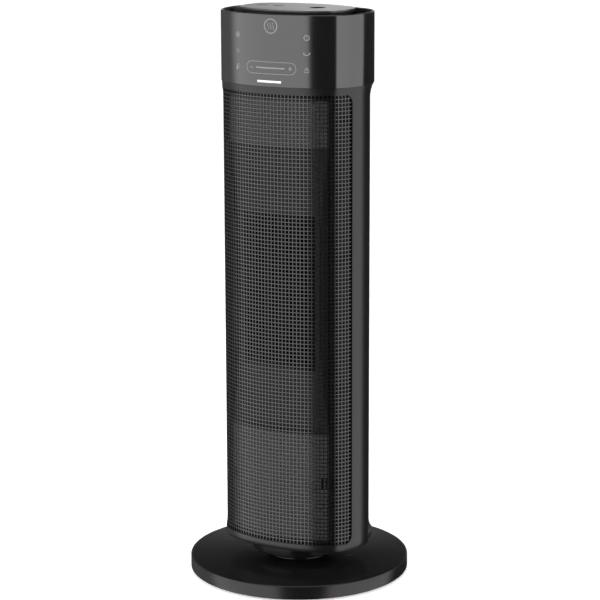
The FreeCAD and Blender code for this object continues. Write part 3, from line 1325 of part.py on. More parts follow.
def check_and_export():
    """Recompute, refuse anything failed, and write each sub-part as its own file."""
    doc.recompute()
    for thing in doc.Objects:
        if "Invalid" in thing.State or "Error" in thing.State:
            raise RuntimeError(f"{thing.Name} is {thing.State}")
    for name, thing in nodes.items():
        if thing.Shape.isNull() or not thing.Shape.isValid() or not thing.Shape.Solids:
            raise RuntimeError(f"{name} has no valid solid")
    os.makedirs("parts", exist_ok=True)
    for name, thing in nodes.items():
        thing.Shape.exportStep(f"parts/{name}.step")
        print(f"{name}: {len(thing.Shape.Solids)} solids, {thing.Shape.Volume / 1000:.1f} cm3")


make_tower_floor(make_swivel(make_base()))
make_front()
make_air_guide(make_rear())
make_heater()
make_blower()
make_head()
make_loom()
make_tip_switch()
check_and_export()
print(f"{len(nodes)} nodes")
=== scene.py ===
import json
import math

import bmesh
import bpy
from bpy.props import FloatProperty, FloatVectorProperty, IntProperty, PointerProperty
from mathutils import Matrix, Vector


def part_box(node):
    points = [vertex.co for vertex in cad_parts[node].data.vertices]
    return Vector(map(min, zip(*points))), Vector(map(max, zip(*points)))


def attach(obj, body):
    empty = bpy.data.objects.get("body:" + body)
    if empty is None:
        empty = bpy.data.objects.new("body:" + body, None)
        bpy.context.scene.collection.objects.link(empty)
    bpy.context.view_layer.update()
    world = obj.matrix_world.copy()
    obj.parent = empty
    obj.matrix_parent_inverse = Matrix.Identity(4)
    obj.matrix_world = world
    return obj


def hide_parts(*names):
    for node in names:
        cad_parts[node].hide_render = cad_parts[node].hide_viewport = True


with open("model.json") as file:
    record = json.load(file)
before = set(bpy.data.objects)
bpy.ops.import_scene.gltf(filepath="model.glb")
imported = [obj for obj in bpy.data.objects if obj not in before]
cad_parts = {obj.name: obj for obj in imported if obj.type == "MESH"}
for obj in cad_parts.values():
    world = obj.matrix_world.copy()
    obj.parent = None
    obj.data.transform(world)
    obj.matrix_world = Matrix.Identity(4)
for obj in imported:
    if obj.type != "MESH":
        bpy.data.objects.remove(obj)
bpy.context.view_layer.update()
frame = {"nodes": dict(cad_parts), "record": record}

bl_info = {
    "name": "Tower Heater",
    "version": (1, 0, 0),
    "blender": (4, 5, 0),
    "location": "View3D > Sidebar > Heater",
    "description": "Builds the looks of an oval tower fan heater round its fixed frame",
    "category": "Object",
}

MM = 0.001
TOWER = "tower"
FRONT_BULGE = 57.0 * MM
END_BULGE = 10.6 * MM
CORNER_RADIUS = 42.2 * MM
SMOOTH_ANGLE = math.radians(32)


# Frame sizes -----------------------------------------------------------------------------------

def low(node):
    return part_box(node)[0]


def high(node):
    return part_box(node)[1]


TOWER_BOTTOM = low("front_frame")[2]
SEAM = high("front_frame")[2]
RIM = high("head_shell")[2]
HALF_WIDTH = high("front_frame")[0]
HALF_DEPTH = -low("front_frame")[1]
HEAD_PROUD = high("head_shell")[0] - HALF_WIDTH
PARTING = high("front_frame")[1]
RECESS_LOW = low("filter_cover")[2]
RECESS_HIGH = high("filter_cover")[2]
LID_BOTTOM = low("top_lid")[2]
LID_TOP = high("top_lid")[2]
BASE_RADIUS = high("base_cover")[0]


class Casing:
    """The tower's oval, eight arcs in smooth contact, followed by the distance from the front middle."""

    def __init__(self, half_width, half_depth):
        front = half_width + FRONT_BULGE
        end = half_depth + END_BULGE
        front_middle = Vector((0, front - half_depth))
        end_middle = Vector((half_width - end, 0))
        span = end_middle - front_middle
        from_front = front - CORNER_RADIUS
        from_end = end - CORNER_RADIUS
        along = (from_front ** 2 - from_end ** 2 + span.length ** 2) / (2 * span.length)
        across = math.sqrt(from_front ** 2 - along ** 2)
        unit = span / span.length
        sides = [front_middle + unit * along + Vector((-unit.y, unit.x)) * across * way for way in (1, -1)]
        corner = max(sides, key=lambda point: point.x - point.y)
        upper = math.atan2(front_middle.y - corner.y, corner.x)
        lower = math.atan2(-corner.y, corner.x - end_middle.x)
        turn = math.pi
        self.arcs = [
            (front_middle, front, -turn / 2, -upper),
            (corner, CORNER_RADIUS, -upper, -lower),
            (end_middle, end, -lower, lower),
            (Vector((corner.x, -corner.y)), CORNER_RADIUS, lower, upper),
            (-front_middle, front, upper, turn - upper),
            (-corner, CORNER_RADIUS, turn - upper, turn - lower),
            (-end_middle, end, turn - lower, turn + lower),
            (Vector((-corner.x, corner.y)), CORNER_RADIUS, turn + lower, turn + upper),
            (front_middle, front, turn + upper, turn * 1.5),
        ]
        self.length = sum(radius * (stop - start) for _, radius, start, stop in self.arcs)

    def at(self, distance):
        """The point and the outward direction at a distance along the oval."""
        distance %= self.length
        for middle, radius, start, stop in self.arcs:
            run = radius * (stop - start)
            if distance <= run:
                break
            distance -= run
        angle = start + distance / radius
        outward = Vector((math.cos(angle), math.sin(angle)))
        return middle + outward * radius, outward

    def skin(self, distance, height, depth):
        """A point at a depth below the tower's surface."""
        point, outward = self.at(distance)
        point = point - outward * depth
        return Vector((point.x, point.y, height))

    def where_y(self, y):
        """The distance at which the right side reaches a depth in Y."""
        near, far = 0.0, self.length / 2
        for _ in range(60):
            middle = (near + far) / 2
            if self.at(middle)[0].y < y:
                near = middle
            else:
                far = middle
        return (near + far) / 2

    def where_x(self, x):
        """The distance at which the front reaches a position across."""
        near, far = 0.0, self.where_y(0)
        for _ in range(60):
            middle = (near + far) / 2
            if self.at(middle)[0].x < abs(x):
                near = middle
            else:
                far = middle
        return math.copysign((near + far) / 2, x)


CASING = Casing(HALF_WIDTH, HALF_DEPTH)


# Mesh tools ------------------------------------------------------------------------------------

def spread(start, stop, step):
    """Evenly spaced values from start to stop."""
    count = max(1, math.ceil(abs(stop - start) / step - 1e-6))
    return [start + (stop - start) * index / count for index in range(count + 1)]


def new_object(name, mesh):
    piece = bpy.data.objects.new(name, mesh)
    bpy.context.scene.collection.objects.link(piece)
    return piece


def tidy(mesh, reface=False, weld=1e-6):
    """Weld doubles, turn faces outwards if asked, and smooth all but the sharp edges."""
    work = bmesh.new()
    work.from_mesh(mesh)
    bmesh.ops.remove_doubles(work, verts=work.verts, dist=weld)
    bmesh.ops.dissolve_degenerate(work, edges=work.edges, dist=1e-7)
    if reface:
        bmesh.ops.recalc_face_normals(work, faces=work.faces)
    work.to_mesh(mesh)
    work.free()
    mesh.shade_smooth()
    mesh.set_sharp_from_angle(angle=SMOOTH_ANGLE)
    return mesh


def from_faces(name, verts, faces, reface=True):
    mesh = bpy.data.meshes.new(name)
    mesh.from_pydata([tuple(vert) for vert in verts], [], faces)
    return tidy(mesh, reface)


def applied(piece):
    """The piece with its modifiers worked in."""
    ready = piece.evaluated_get(bpy.context.evaluated_depsgraph_get())
    mesh = bpy.data.meshes.new_from_object(ready)
    mesh.name = piece.name
    piece.modifiers.clear()
    piece.data = mesh
    return piece


def walled(name, mesh, thickness, edge, segments=2):
    """A curved sheet given a wall inwards and rounded edges."""
    piece = new_object(name, mesh)
    wall = piece.modifiers.new("wall", "SOLIDIFY")
    wall.thickness = thickness
    wall.offset = -1
    wall.use_even_offset = True
    bevel = piece.modifiers.new("edge", "BEVEL")
    bevel.width = edge
    bevel.segments = segments
    bevel.limit_method = "ANGLE"
    bevel.angle_limit = math.radians(40)
    applied(piece)
    tidy(piece.data)
    return piece


def rounded(corners, steps=5):
    """A closed profile with each corner (across, up, radius) rounded to its radius."""
    points = []
    count = len(corners)
    for index, (across, up, radius) in enumerate(corners):
        here = Vector((across, up))
        before = (Vector(corners[index - 1][:2]) - here).normalized()
        after = (Vector(corners[(index + 1) % count][:2]) - here).normalized()
        half = before.angle(after) / 2
        if radius <= 0 or half < 0.01 or half > math.pi / 2 - 0.01:
            points.append(here)
            continue
        reach = radius / math.tan(half)
        middle = here + (before + after).normalized() * (radius / math.sin(half))
        first = here + before * reach - middle
        last = here + after * reach - middle
        sweep = first.angle_signed(last) * -1
        for step in range(steps + 1):
            angle = sweep * step / steps
            turned = Matrix.Rotation(angle, 2) @ first
            points.append(middle + turned)
    return points


def turned(name, corners, middle=(0, 0), steps=128):
    """A body of revolution about an upright axis from a rounded closed profile."""
    profile = rounded(corners)
    verts = []
    for step in range(steps):
        angle = 2 * math.pi * step / steps
        for across, up in profile:
            verts.append((middle[0] + across * math.cos(angle), middle[1] + across * math.sin(angle), up))
    return from_faces(name, verts, ring_faces(len(profile), steps))


def ring_faces(width, count, closed=True):
    """Faces between neighbouring copies of a closed profile."""
    faces = []
    for step in range(count if closed else count - 1):
        following = (step + 1) % count
        for index in range(width):
            beside = (index + 1) % width
            faces.append((step * width + index, step * width + beside, following * width + beside,
                          following * width + index))
    return faces


def swept(name, corners, start=None, stop=None, spacing=2 * MM):
    """A rounded closed profile of (depth, height) carried along the casing's oval."""
    profile = rounded(corners)
    whole = start is None
    stations = spread(0, CASING.length, spacing)[:-1] if whole else spread(start, stop, spacing)
    verts = [CASING.skin(distance, up, depth) for distance in stations for depth, up in profile]
    faces = ring_faces(len(profile), len(stations), whole)
    if not whole:
        last = (len(stations) - 1) * len(profile)
        faces.append(tuple(range(len(profile))))
        faces.append(tuple(range(last, last + len(profile)))[::-1])
    return from_faces(name, verts, faces)


def plate(name, outlines, bottom, top, edge):
    """A flat plate with holes and rounded edges from closed outlines seen from above."""
    curve = bpy.data.curves.new(name, "CURVE")
    curve.dimensions = "2D"
    curve.fill_mode = "BOTH"
    for points in outlines:
        spline = curve.splines.new("POLY")
        spline.points.add(len(points) - 1)
        for knot, (x, y) in zip(spline.points, points):
            knot.co = (x, y, 0, 1)
        spline.use_cyclic_u = True
    curve.extrude = (top - bottom) / 2 - edge
    curve.bevel_depth = edge
    curve.bevel_resolution = 3
    curve.offset = -edge
    holder = new_object(name, curve)
    ready = holder.evaluated_get(bpy.context.evaluated_depsgraph_get())
    mesh = bpy.data.meshes.new_from_object(ready)
    bpy.data.objects.remove(holder)
    bpy.data.curves.remove(curve)
    mesh.transform(Matrix.Translation((0, 0, (bottom + top) / 2)))
    return tidy(mesh, reface=True, weld=1e-5)


def oval_outline(inset, spacing=2 * MM):
    return [tuple(CASING.skin(distance, 0, inset))[:2] for distance in spread(0, CASING.length, spacing)[:-1]]


def circle_outline(x, y, radius, steps=48):
    angles = [2 * math.pi * step / steps for step in range(steps)]
    return [(x + radius * math.cos(angle), y + radius * math.sin(angle)) for angle in angles]


def opened_sheet(name, bounds, opening, corner, depth, spacing=3 * MM):
    """A curved sheet (along, height) with a round-cornered opening, at a depth below the surface."""
    left, right, bottom, top = bounds
    hole_left, hole_right, hole_bottom, hole_top = opening
    steps = 5
    part = corner / steps

    def marks(outer_low, hole_low, hole_high, outer_high, gap, middle_gap):
        values = spread(outer_low, hole_low, gap)
        values += spread(hole_low, hole_low + corner, part)[1:]
        values += spread(hole_low + corner, hole_high - corner, middle_gap)[1:]
        values += spread(hole_high - corner, hole_high, part)[1:]
        return values + spread(hole_high, outer_high, gap)[1:]

    columns = marks(left, hole_left, hole_right, right, spacing, spacing)
    rows = marks(bottom, hole_bottom, hole_top, top, 1, 1)
    verts = []
    faces = []

    def add_face(points):
        start = len(verts)
        verts.extend(CASING.skin(along, up, depth) for along, up in points)
        faces.append(tuple(range(start, start + len(points))))

    tiny = 1e-6
    for a, b in zip(columns, columns[1:]):
        for c, d in zip(rows, rows[1:]):
            in_width = a > hole_left - tiny and b < hole_right + tiny
            in_height = c > hole_bottom - tiny and d < hole_top + tiny
            if not (in_width and in_height):
                add_face([(a, c), (b, c), (b, d), (a, d)])
    for side, x in ((1, hole_left), (-1, hole_right)):
        for way, z in ((1, hole_bottom), (-1, hole_top)):
            arc = []
            rim_points = []
            for step in range(2 * steps + 1):
                angle = math.pi / 2 * step / (2 * steps)
                arc.append((x + side * corner * (1 - math.cos(angle)),
                            z + way * corner * (1 - math.sin(angle))))
                if step <= steps:
                    rim_points.append((x, z + way * corner * (1 - step / steps)))
                else:
                    rim_points.append((x + side * corner * (step / steps - 1), z))
            for index in range(2 * steps):
                points = [rim_points[index], rim_points[index + 1], arc[index + 1], arc[index]]
                if index == 0:
                    points = points[:3]
                elif index == 2 * steps - 1:
                    points = [points[0], points[1], points[3]]
                if side * way < 0:
                    points.reverse()
                add_face(points)
    mesh = bpy.data.meshes.new(name)
    mesh.from_pydata([tuple(vert) for vert in verts], [], faces)
    tidy(mesh, reface=False, weld=2e-6)
    return mesh


def joined(name, meshes):
    """Several meshes as one."""
    work = bmesh.new()
    for mesh in meshes:
        work.from_mesh(mesh)
    whole = bpy.data.meshes.new(name)
    work.to_mesh(whole)
    work.free()
    whole.shade_smooth()
    whole.set_sharp_from_angle(angle=SMOOTH_ANGLE)
    return whole


def islands(node):
    """The lowest and highest corner of each separate solid of a frame node."""
    mesh = frame["nodes"][node].data
    work = bmesh.new()
    work.from_mesh(mesh)
    bmesh.ops.remove_doubles(work, verts=work.verts, dist=1e-6)
    boxes = []
    seen = set()
    for seed in work.verts:
        if seed in seen:
            continue
        stack = [seed]
        seen.add(seed)
        points = []
        while stack:
            vert = stack.pop()
            points.append(vert.co.copy())
            for edge in vert.link_edges:
                other = edge.other_vert(vert)
                if other not in seen:
                    seen.add(other)
                    stack.append(other)
        boxes.append((Vector([min(point[axis] for point in points) for axis in range(3)]),
                      Vector([max(point[axis] for point in points) for axis in range(3)])))
    work.free()
    return boxes


def finished(piece, body, finish, slot, *nodes):
    """Give a piece its material and body, and hide the frame nodes that it stands for; the slot is not used.
    """
    piece.data.materials.clear()
    piece.data.materials.append(FINISHES[finish])
    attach(piece, body)
    if nodes:
        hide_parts(*nodes)
    return piece


# Geometry node tools ---------------------------------------------------------------------------

class Recipe:
    """Adds nodes to a geometry tree with named inputs."""

    def __init__(self, name, inputs):
        self.tree = bpy.data.node_groups.new(name, "GeometryNodeTree")
        face = self.tree.interface
        face.new_socket("Geometry", in_out="INPUT", socket_type="NodeSocketGeometry")
        face.new_socket("Geometry", in_out="OUTPUT", socket_type="NodeSocketGeometry")
        for label, (kind, default) in inputs.items():
            socket = face.new_socket(label, in_out="INPUT", socket_type=kind)
            if default is not None:
                socket.default_value = default
        self.start = self.tree.nodes.new("NodeGroupInput")
        self.stop = self.tree.nodes.new("NodeGroupOutput")

    def add(self, kind, settings=None, inputs=None):
        node = self.tree.nodes.new(kind)
        for key, value in (settings or {}).items():
            setattr(node, key, value)
        for key, value in (inputs or {}).items():
            socket = node.inputs[key]
            if isinstance(value, bpy.types.NodeSocket):
                self.tree.links.new(value, socket)
            else:
                socket.default_value = value
        return node

    def finish(self, geometry):
        """Real meshes with their material at the end."""
        real = self.add("GeometryNodeRealizeInstances", None, {"Geometry": geometry})
        done = self.add("GeometryNodeSetMaterial", None,
                        {"Geometry": real.outputs[0], "Material": self.start.outputs["Finish"]})
        self.tree.links.new(done.outputs[0], self.stop.inputs[0])
        return self.tree


def grown(name, mesh, tree, values):
    """The mesh that a geometry tree makes from a seed mesh."""
    seed = new_object(name, mesh)
    modifier = seed.modifiers.new("pattern", "NODES")
    modifier.node_group = tree
    for item in tree.interface.items_tree:
        if item.in_out == "INPUT" and item.name in values:
            modifier[item.identifier] = values[item.name]
    applied(seed)
    tidy(seed.data, weld=1e-6)
    return seed


def punch_tree():
    """Each open cell of a sheet gets a hole, and the sheet gets its thickness."""
    recipe = Recipe("punch_sheet", {
        "Hole share": ("NodeSocketFloat", 0.64),
        "Sheet thickness": ("NodeSocketFloat", 1 * MM),
        "Finish": ("NodeSocketMaterial", None),
    })
    start = recipe.start
    cells = recipe.add("GeometryNodeInputNamedAttribute", {"data_type": "BOOLEAN"}, {"Name": "open_cell"})
    lifted = recipe.add("GeometryNodeExtrudeMesh", {"mode": "FACES"},
                        {"Mesh": start.outputs["Geometry"], "Selection": cells.outputs["Attribute"],
                         "Offset Scale": 0.0, "Individual": True})
    shrunk = recipe.add("GeometryNodeScaleElements", {"domain": "FACE"},
                        {"Geometry": lifted.outputs["Mesh"], "Selection": lifted.outputs["Top"],
                         "Scale": start.outputs["Hole share"]})
    pierced = recipe.add("GeometryNodeDeleteGeometry", {"domain": "FACE"},
                         {"Geometry": shrunk.outputs[0], "Selection": lifted.outputs["Top"]})
    back = recipe.add("ShaderNodeMath", {"operation": "MULTIPLY"},
                      {0: start.outputs["Sheet thickness"], 1: -1.0})
    walls = recipe.add("GeometryNodeExtrudeMesh", {"mode": "FACES"},
                       {"Mesh": pierced.outputs[0], "Offset Scale": back.outputs[0], "Individual": False})
    inner = recipe.add("GeometryNodeFlipFaces", None, {"Mesh": walls.outputs["Mesh"]})
    both = recipe.add("GeometryNodeJoinGeometry")
    recipe.tree.links.new(pierced.outputs[0], both.inputs[0])
    recipe.tree.links.new(inner.outputs[0], both.inputs[0])
    welded = recipe.add("GeometryNodeMergeByDistance", None, {"Geometry": both.outputs[0], "Distance": 1e-6})
    return recipe.finish(welded.outputs[0])


def stack_tree():
    """Copies of the seed mesh, one above the other."""
    recipe = Recipe("stack_up", {
        "Count": ("NodeSocketInt", 10),
        "Pitch": ("NodeSocketFloat", 8 * MM),
        "Finish": ("NodeSocketMaterial", None),
    })
    start = recipe.start
    step = recipe.add("ShaderNodeCombineXYZ", None, {"Z": start.outputs["Pitch"]})
    line = recipe.add("GeometryNodeMeshLine", None,
                      {"Count": start.outputs["Count"], "Offset": step.outputs[0]})
    copies = recipe.add("GeometryNodeInstanceOnPoints", None,
                        {"Points": line.outputs[0], "Instance": start.outputs["Geometry"]})
    return recipe.finish(copies.outputs[0])


def scatter_tree():
    """A copy of a part at each point of the seed mesh, turned to face along one axis."""
    recipe = Recipe("set_parts", {
        "Part": ("NodeSocketObject", None),
        "Turn": ("NodeSocketRotation", None),
        "Finish": ("NodeSocketMaterial", None),
    })
    start = recipe.start
    part = recipe.add("GeometryNodeObjectInfo", {"transform_space": "ORIGINAL"},
                      {"Object": start.outputs["Part"]})
    copies = recipe.add("GeometryNodeInstanceOnPoints", None,
                        {"Points": start.outputs["Geometry"], "Instance": part.outputs["Geometry"],
                         "Rotation": start.outputs["Turn"]})
    return recipe.finish(copies.outputs[0])


# Material tools --------------------------------------------------------------------------------

FINISHES = {}


class Amount:
    """A number in a material. Arithmetic on it adds Math nodes."""

    def __init__(self, paint, socket):
        self.paint = paint
        self.socket = socket

    def maths(self, operation, first, second=0.0, third=0.0):
        node = self.paint.add("ShaderNodeMath", {"operation": operation}, {0: first, 1: second, 2: third})
        return Amount(self.paint, node.outputs[0])

    def __add__(self, other):
        return self.maths("ADD", self, other)

    def __radd__(self, other):
        return self.maths("ADD", other, self)

    def __sub__(self, other):
        return self.maths("SUBTRACT", self, other)

    def __rsub__(self, other):
        return self.maths("SUBTRACT", other, self)

    def __mul__(self, other):
        return self.maths("MULTIPLY", self, other)

    def __rmul__(self, other):
        return self.maths("MULTIPLY", other, self)

    def __truediv__(self, other):
        return self.maths("DIVIDE", self, other)

    def __pow__(self, other):
        return self.maths("POWER", self, other)

    def wave(self):
        return self.maths("SINE", self)

    def above(self, limit):
        return self.maths("GREATER_THAN", self, limit)

    def greater(self, other):
        return self.maths("MAXIMUM", self, other)

    def size(self):
        return self.maths("ABSOLUTE", self)

    def ramp(self, start, stop):
        node = self.paint.add("ShaderNodeMapRange", {"clamp": True},
                              {"Value": self, "From Min": start, "From Max": stop})
        return Amount(self.paint, node.outputs[0])


class Paint:
    """One material and its nodes, read in the object's own coordinates."""

    def __init__(self, name):
        self.material = bpy.data.materials.new(name)
        self.material.use_nodes = True
        self.tree = self.material.node_tree
        self.shader = self.tree.nodes["Principled BSDF"]
        self.place = self.add("ShaderNodeTexCoord").outputs["Object"]
        FINISHES[name] = self.material

    def add(self, kind, settings=None, inputs=None):
        node = self.tree.nodes.new(kind)
        for key, value in (settings or {}).items():
            setattr(node, key, value)
        for key, value in (inputs or {}).items():
            self.feed(node.inputs[key], value)
        return node

    def feed(self, socket, value):
        if isinstance(value, Amount):
            value = value.socket
        if isinstance(value, bpy.types.NodeSocket):
            self.tree.links.new(value, socket)
        else:
            socket.default_value = value

    def stretched(self, scale):
        return self.add("ShaderNodeMapping", None, {"Vector": self.place, "Scale": scale}).outputs[0]

    def noise(self, scale, detail=2.0, stretch=None):
        place = self.place if stretch is None else self.stretched(stretch)
        node = self.add("ShaderNodeTexNoise", None, {"Vector": place, "Scale": scale, "Detail": detail})
        return Amount(self, node.outputs[0])

    def cells(self, scale, feature="F1"):
        node = self.add("ShaderNodeTexVoronoi", {"feature": feature}, {"Vector": self.place, "Scale": scale})
        return Amount(self, node.outputs[0])

    def axis(self, name):
        node = self.add("ShaderNodeSeparateXYZ", None, {0: self.place})
        return Amount(self, node.outputs[name])

    def blend(self, factor, first, second):
        node = self.add("ShaderNodeMix", {"data_type": "RGBA"}, {0: factor, 6: first, 7: second})
        return node.outputs[2]

    def bump(self, height, distance, strength=1.0):
        node = self.add("ShaderNodeBump", None,
                        {"Height": height, "Distance": distance, "Strength": strength})
        self.feed(self.shader.inputs["Normal"], node.outputs[0])

    def set(self, **values):
        for key, value in values.items():
            self.feed(self.shader.inputs[key.replace("_", " ")], value)
        return self


def shade(colour, factor):
    return tuple(channel * factor for channel in colour[:3]) + (1.0,)


def moulded(name, colour, roughness, grain=2200.0, relief=0.02, tone=0.12, haze=0.03, ior=1.5):
    """Moulded plastic: fine texture, faint flow marks and a little handling haze."""
    paint = Paint(name)
    drift = paint.noise(14.0, 3.0)
    speck = paint.noise(grain, 2.0)
    hazed = paint.noise(55.0, 4.0)
    paint.set(Base_Color=paint.blend(drift, shade(colour, 1 - tone), shade(colour, 1 + tone)),
              Roughness=hazed * (2 * haze) + speck * (haze * 0.6) + (roughness - haze * 1.3), IOR=ior)
    paint.bump(speck + paint.noise(grain * 0.37, 1.0) * 0.6, relief * MM)
    return paint


def metal(name, colour, roughness, stretch=(1.0, 1.0, 60.0), relief=0.004):
    """Rolled or turned metal with fine drawn lines and dull patches."""
    paint = Paint(name)
    lines = paint.noise(220.0, 3.0, stretch)
    patches = paint.noise(30.0, 3.0)
    paint.set(Base_Color=paint.blend(patches, shade(colour, 0.85), shade(colour, 1.08)), Metallic=1.0,
              Roughness=lines * 0.16 + patches * 0.08 + (roughness - 0.12))
    paint.bump(lines, relief * MM)
    return paint


class HeaterColours(bpy.types.PropertyGroup):
    """Colours and gloss of the heater."""
    casing: FloatVectorProperty(name="Casing", description="Colour of the casing, head and base",
                                subtype="COLOR", size=3, min=0, max=1, default=(0.0050, 0.0050, 0.0053))
    lid: FloatVectorProperty(name="Lid", description="Colour of the lid", subtype="COLOR", size=3,
                             min=0, max=1, default=(0.20, 0.203, 0.206))
    marks: FloatVectorProperty(name="Marks", description="Colour of the printed marks", subtype="COLOR",
                               size=3, min=0, max=1, default=(0.17, 0.172, 0.175))
    gloss: FloatProperty(name="Casing roughness", description="Roughness of the head and frame",
                         default=0.13, min=0.02, max=1, subtype="FACTOR")


class HeaterGrille(bpy.types.PropertyGroup):
    """Sizes of the front grille."""
    pitch: FloatProperty(name="Pitch", description="Distance from hole to hole", default=4.5 * MM,
                         min=2 * MM, max=20 * MM, unit="LENGTH")
    bar: FloatProperty(name="Bar", description="Width of the bars between the holes", default=1.0 * MM,
                       min=0.3 * MM, max=5 * MM, unit="LENGTH")
    louvre_pitch: FloatProperty(name="Louvre pitch", description="Distance between the rear louvres",
                                default=8 * MM, min=4 * MM, max=20 * MM, unit="LENGTH")


class HeaterMarks(bpy.types.PropertyGroup):
    """Sizes of the marks on the head."""
    stroke: FloatProperty(name="Stroke", description="Line width of the marks", default=0.5 * MM,
                          min=0.2 * MM, max=3 * MM, unit="LENGTH")
    ring_radius: FloatProperty(name="Ring radius", description="Radius of the heat mark's ring",
                               default=7.8 * MM, min=3 * MM, max=20 * MM, unit="LENGTH")
    spacing: FloatProperty(name="Icon spacing", description="Distance between the icons in a column",
                           default=17.8 * MM, min=8 * MM, max=30 * MM, unit="LENGTH")
    column: FloatProperty(name="Column offset", description="Icon columns from the middle",
                          default=43.5 * MM, min=20 * MM, max=60 * MM, unit="LENGTH")


class HeaterStage(bpy.types.PropertyGroup):
    """Camera and lights."""
    azimuth: FloatProperty(name="Camera azimuth", description="Camera to the right of the front",
                           default=math.radians(29.15), subtype="ANGLE")
    pitch: FloatProperty(name="Camera pitch", description="How far the camera looks down",
                         default=math.radians(12.506), subtype="ANGLE")
    distance: FloatProperty(name="Camera distance", description="Distance from the axis",
                            default=2.5555, min=0.5, max=10, unit="LENGTH")
    height: FloatProperty(name="Camera height", description="Height above the floor", default=0.889,
                          min=0, max=5, unit="LENGTH")
    light: FloatProperty(name="Panel brightness", description="Brightness of the light bands",
                         default=3.9, min=0, max=20)
    circle_steps: IntProperty(name="Floor steps", description="Edges round the floor", default=96,
                              min=16, max=512)


def settings(name):
    return getattr(bpy.context.scene, name)


# Operators -------------------------------------------------------------------------------------

class HEATER_OT_finishes(bpy.types.Operator):
    """Make every material and lay it on the frame's own nodes"""
    bl_idname = "heater.finishes"
    bl_label = "Finishes"

    def execute(self, context):
        colours = settings("heater_colours")
        casing = tuple(colours.casing)
        gloss = colours.gloss
        moulded("casing_gloss", casing, gloss, 900.0, 0.0022, 0.10, 0.03)
        satin = moulded("casing_satin", casing, gloss + 0.10, 1600.0, 0.006, 0.12, 0.04)
        satin.set(Specular_IOR_Level=0.23)
        base = moulded("base_satin", casing, gloss + 0.12, 1800.0, 0.008, 0.14, 0.05)
        base.set(Specular_IOR_Level=0.22)
        moulded("shell_matt", shade(casing, 1.15), 0.36, 2400.0, 0.02, 0.12, 0.05)
        moulded("inner_matt", shade(casing, 1.6), 0.34, 2400.0, 0.02, 0.15, 0.05)
        moulded("deck_dark", (0.028, 0.028, 0.030), 0.34, 2000.0, 0.02, 0.10, 0.05)
        self.lid(tuple(colours.lid), casing)
        self.guide()
        moulded("print_white", (0.78, 0.78, 0.78), 0.45, 3000.0, 0.004, 0.03, 0.05)
        # Painted shade: the heater's aluminium fins, tubes and frame get a near-black finish so that the
        # outlet window reads as dark.
        fins = moulded("fin_dark", (0.006, 0.006, 0.0065), 0.6, 1500.0, 0.02, 0.3, 0.08)
        fins.set(Specular_IOR_Level=0.08)
        guard = moulded("guard_dark", (0.002, 0.002, 0.002), 0.6, 1500.0, 0.02, 0.3, 0.08)
        guard.set(Specular_IOR_Level=0.05)
        moulded("key_grey", shade(tuple(colours.lid), 0.72), 0.40, 2600.0, 0.012, 0.04, 0.05)
        moulded("print_grey", tuple(colours.marks), 0.45, 3000.0, 0.004, 0.03, 0.05)
        moulded("white_plastic", (0.72, 0.71, 0.68), 0.38, 2200.0, 0.01, 0.04, 0.05)
        moulded("acetal", (0.78, 0.77, 0.73), 0.28, 1500.0, 0.006, 0.05, 0.05)
        moulded("mica", (0.42, 0.34, 0.22), 0.55, 1200.0, 0.03, 0.25, 0.08)
        moulded("part_dark", (0.045, 0.045, 0.05), 0.30, 1800.0, 0.01, 0.2, 0.05)
        moulded("wire_red", (0.25, 0.03, 0.025), 0.42, 1500.0, 0.02, 0.2, 0.05)
        lens = moulded("eye_gloss", (0.003, 0.003, 0.0035), 0.12, 700.0, 0.001, 0.1, 0.02)
        lens.set(Specular_IOR_Level=0.0)
        rubber = moulded("rubber_foot", (0.022, 0.022, 0.023), 0.62, 1700.0, 0.03, 0.18, 0.08)
        rubber.set(Specular_IOR_Level=0.35)
        grille = moulded("grille_coat", casing, gloss + 0.05, 2600.0, 0.006, 0.12, 0.04)
        grille.set(Specular_IOR_Level=0.37, Coat_Weight=grille.noise(300.0) * 0.05)
        metal("steel_drawn", (0.52, 0.52, 0.53), 0.32)
        metal("zinc_bright", (0.66, 0.66, 0.64), 0.24, (1.0, 1.0, 1.0))
        metal("aluminium", (0.74, 0.75, 0.76), 0.34, (1.0, 30.0, 1.0))
        metal("brass", (0.66, 0.47, 0.20), 0.30, (1.0, 1.0, 20.0))
        self.board()
        self.filter_weave()
        slots = {
            "base_black": "base_satin", "inner_plastic": "inner_matt", "steel": "steel_drawn",
            "rubber_black": "rubber_foot", "screw_steel": "zinc_bright", "acetal": "acetal",
            "black_shell": "shell_matt", "black_gloss": "casing_gloss", "grille_black": "grille_coat",
            "mica": "mica", "aluminium_fin": "aluminium", "brass": "brass", "board_part": "part_dark",
            "board_green": "board_green", "wire": "wire_red", "white_plastic": "white_plastic",
            "deck_grey": "deck_dark", "lid_grey": "lid_grey", "eye_dark": "eye_gloss",
            "filter_mesh": "filter_weave", "button_grey": "key_grey",
        }
        special = {"air_guide": "guide_panel", "grille_clips": "guard_dark", "outlet_guard": "guard_dark",
                   "heater_fins": "fin_dark", "heater_tubes": "fin_dark", "heater_frame": "fin_dark"}
        for entry in frame["record"]["subparts"]:
            finish = special.get(entry["node"], slots[entry["material_slot"]])
            for place in frame["nodes"][entry["node"]].material_slots:
                place.material = FINISHES[finish]
        return {"FINISHED"}

    def lid(self, top, side):
        """Grey top face with a black skirt; the top face carries painted light, darker to the left and
        lighter to the right.
        """
        paint = moulded("lid_grey", top, 0.40, 2600.0, 0.012, 0.035, 0.05)
        speck = paint.noise(40.0, 3.0)
        face = paint.axis("Z").above(LID_TOP - 0.35 * MM)
        # Painted light: a ramp across X darkens the top's left side and lightens its right side, as the lamps
        # would.
        across = paint.axis("X").ramp(-HALF_WIDTH * 0.8, HALF_WIDTH * 0.4)
        tone = paint.blend(across + speck * 0.1 - 0.05, shade(top, 0.62), shade(top, 1.45))
        paint.set(Base_Color=paint.blend(face, shade(side, 2.2), tone), Roughness=speck * 0.1 + 0.26)

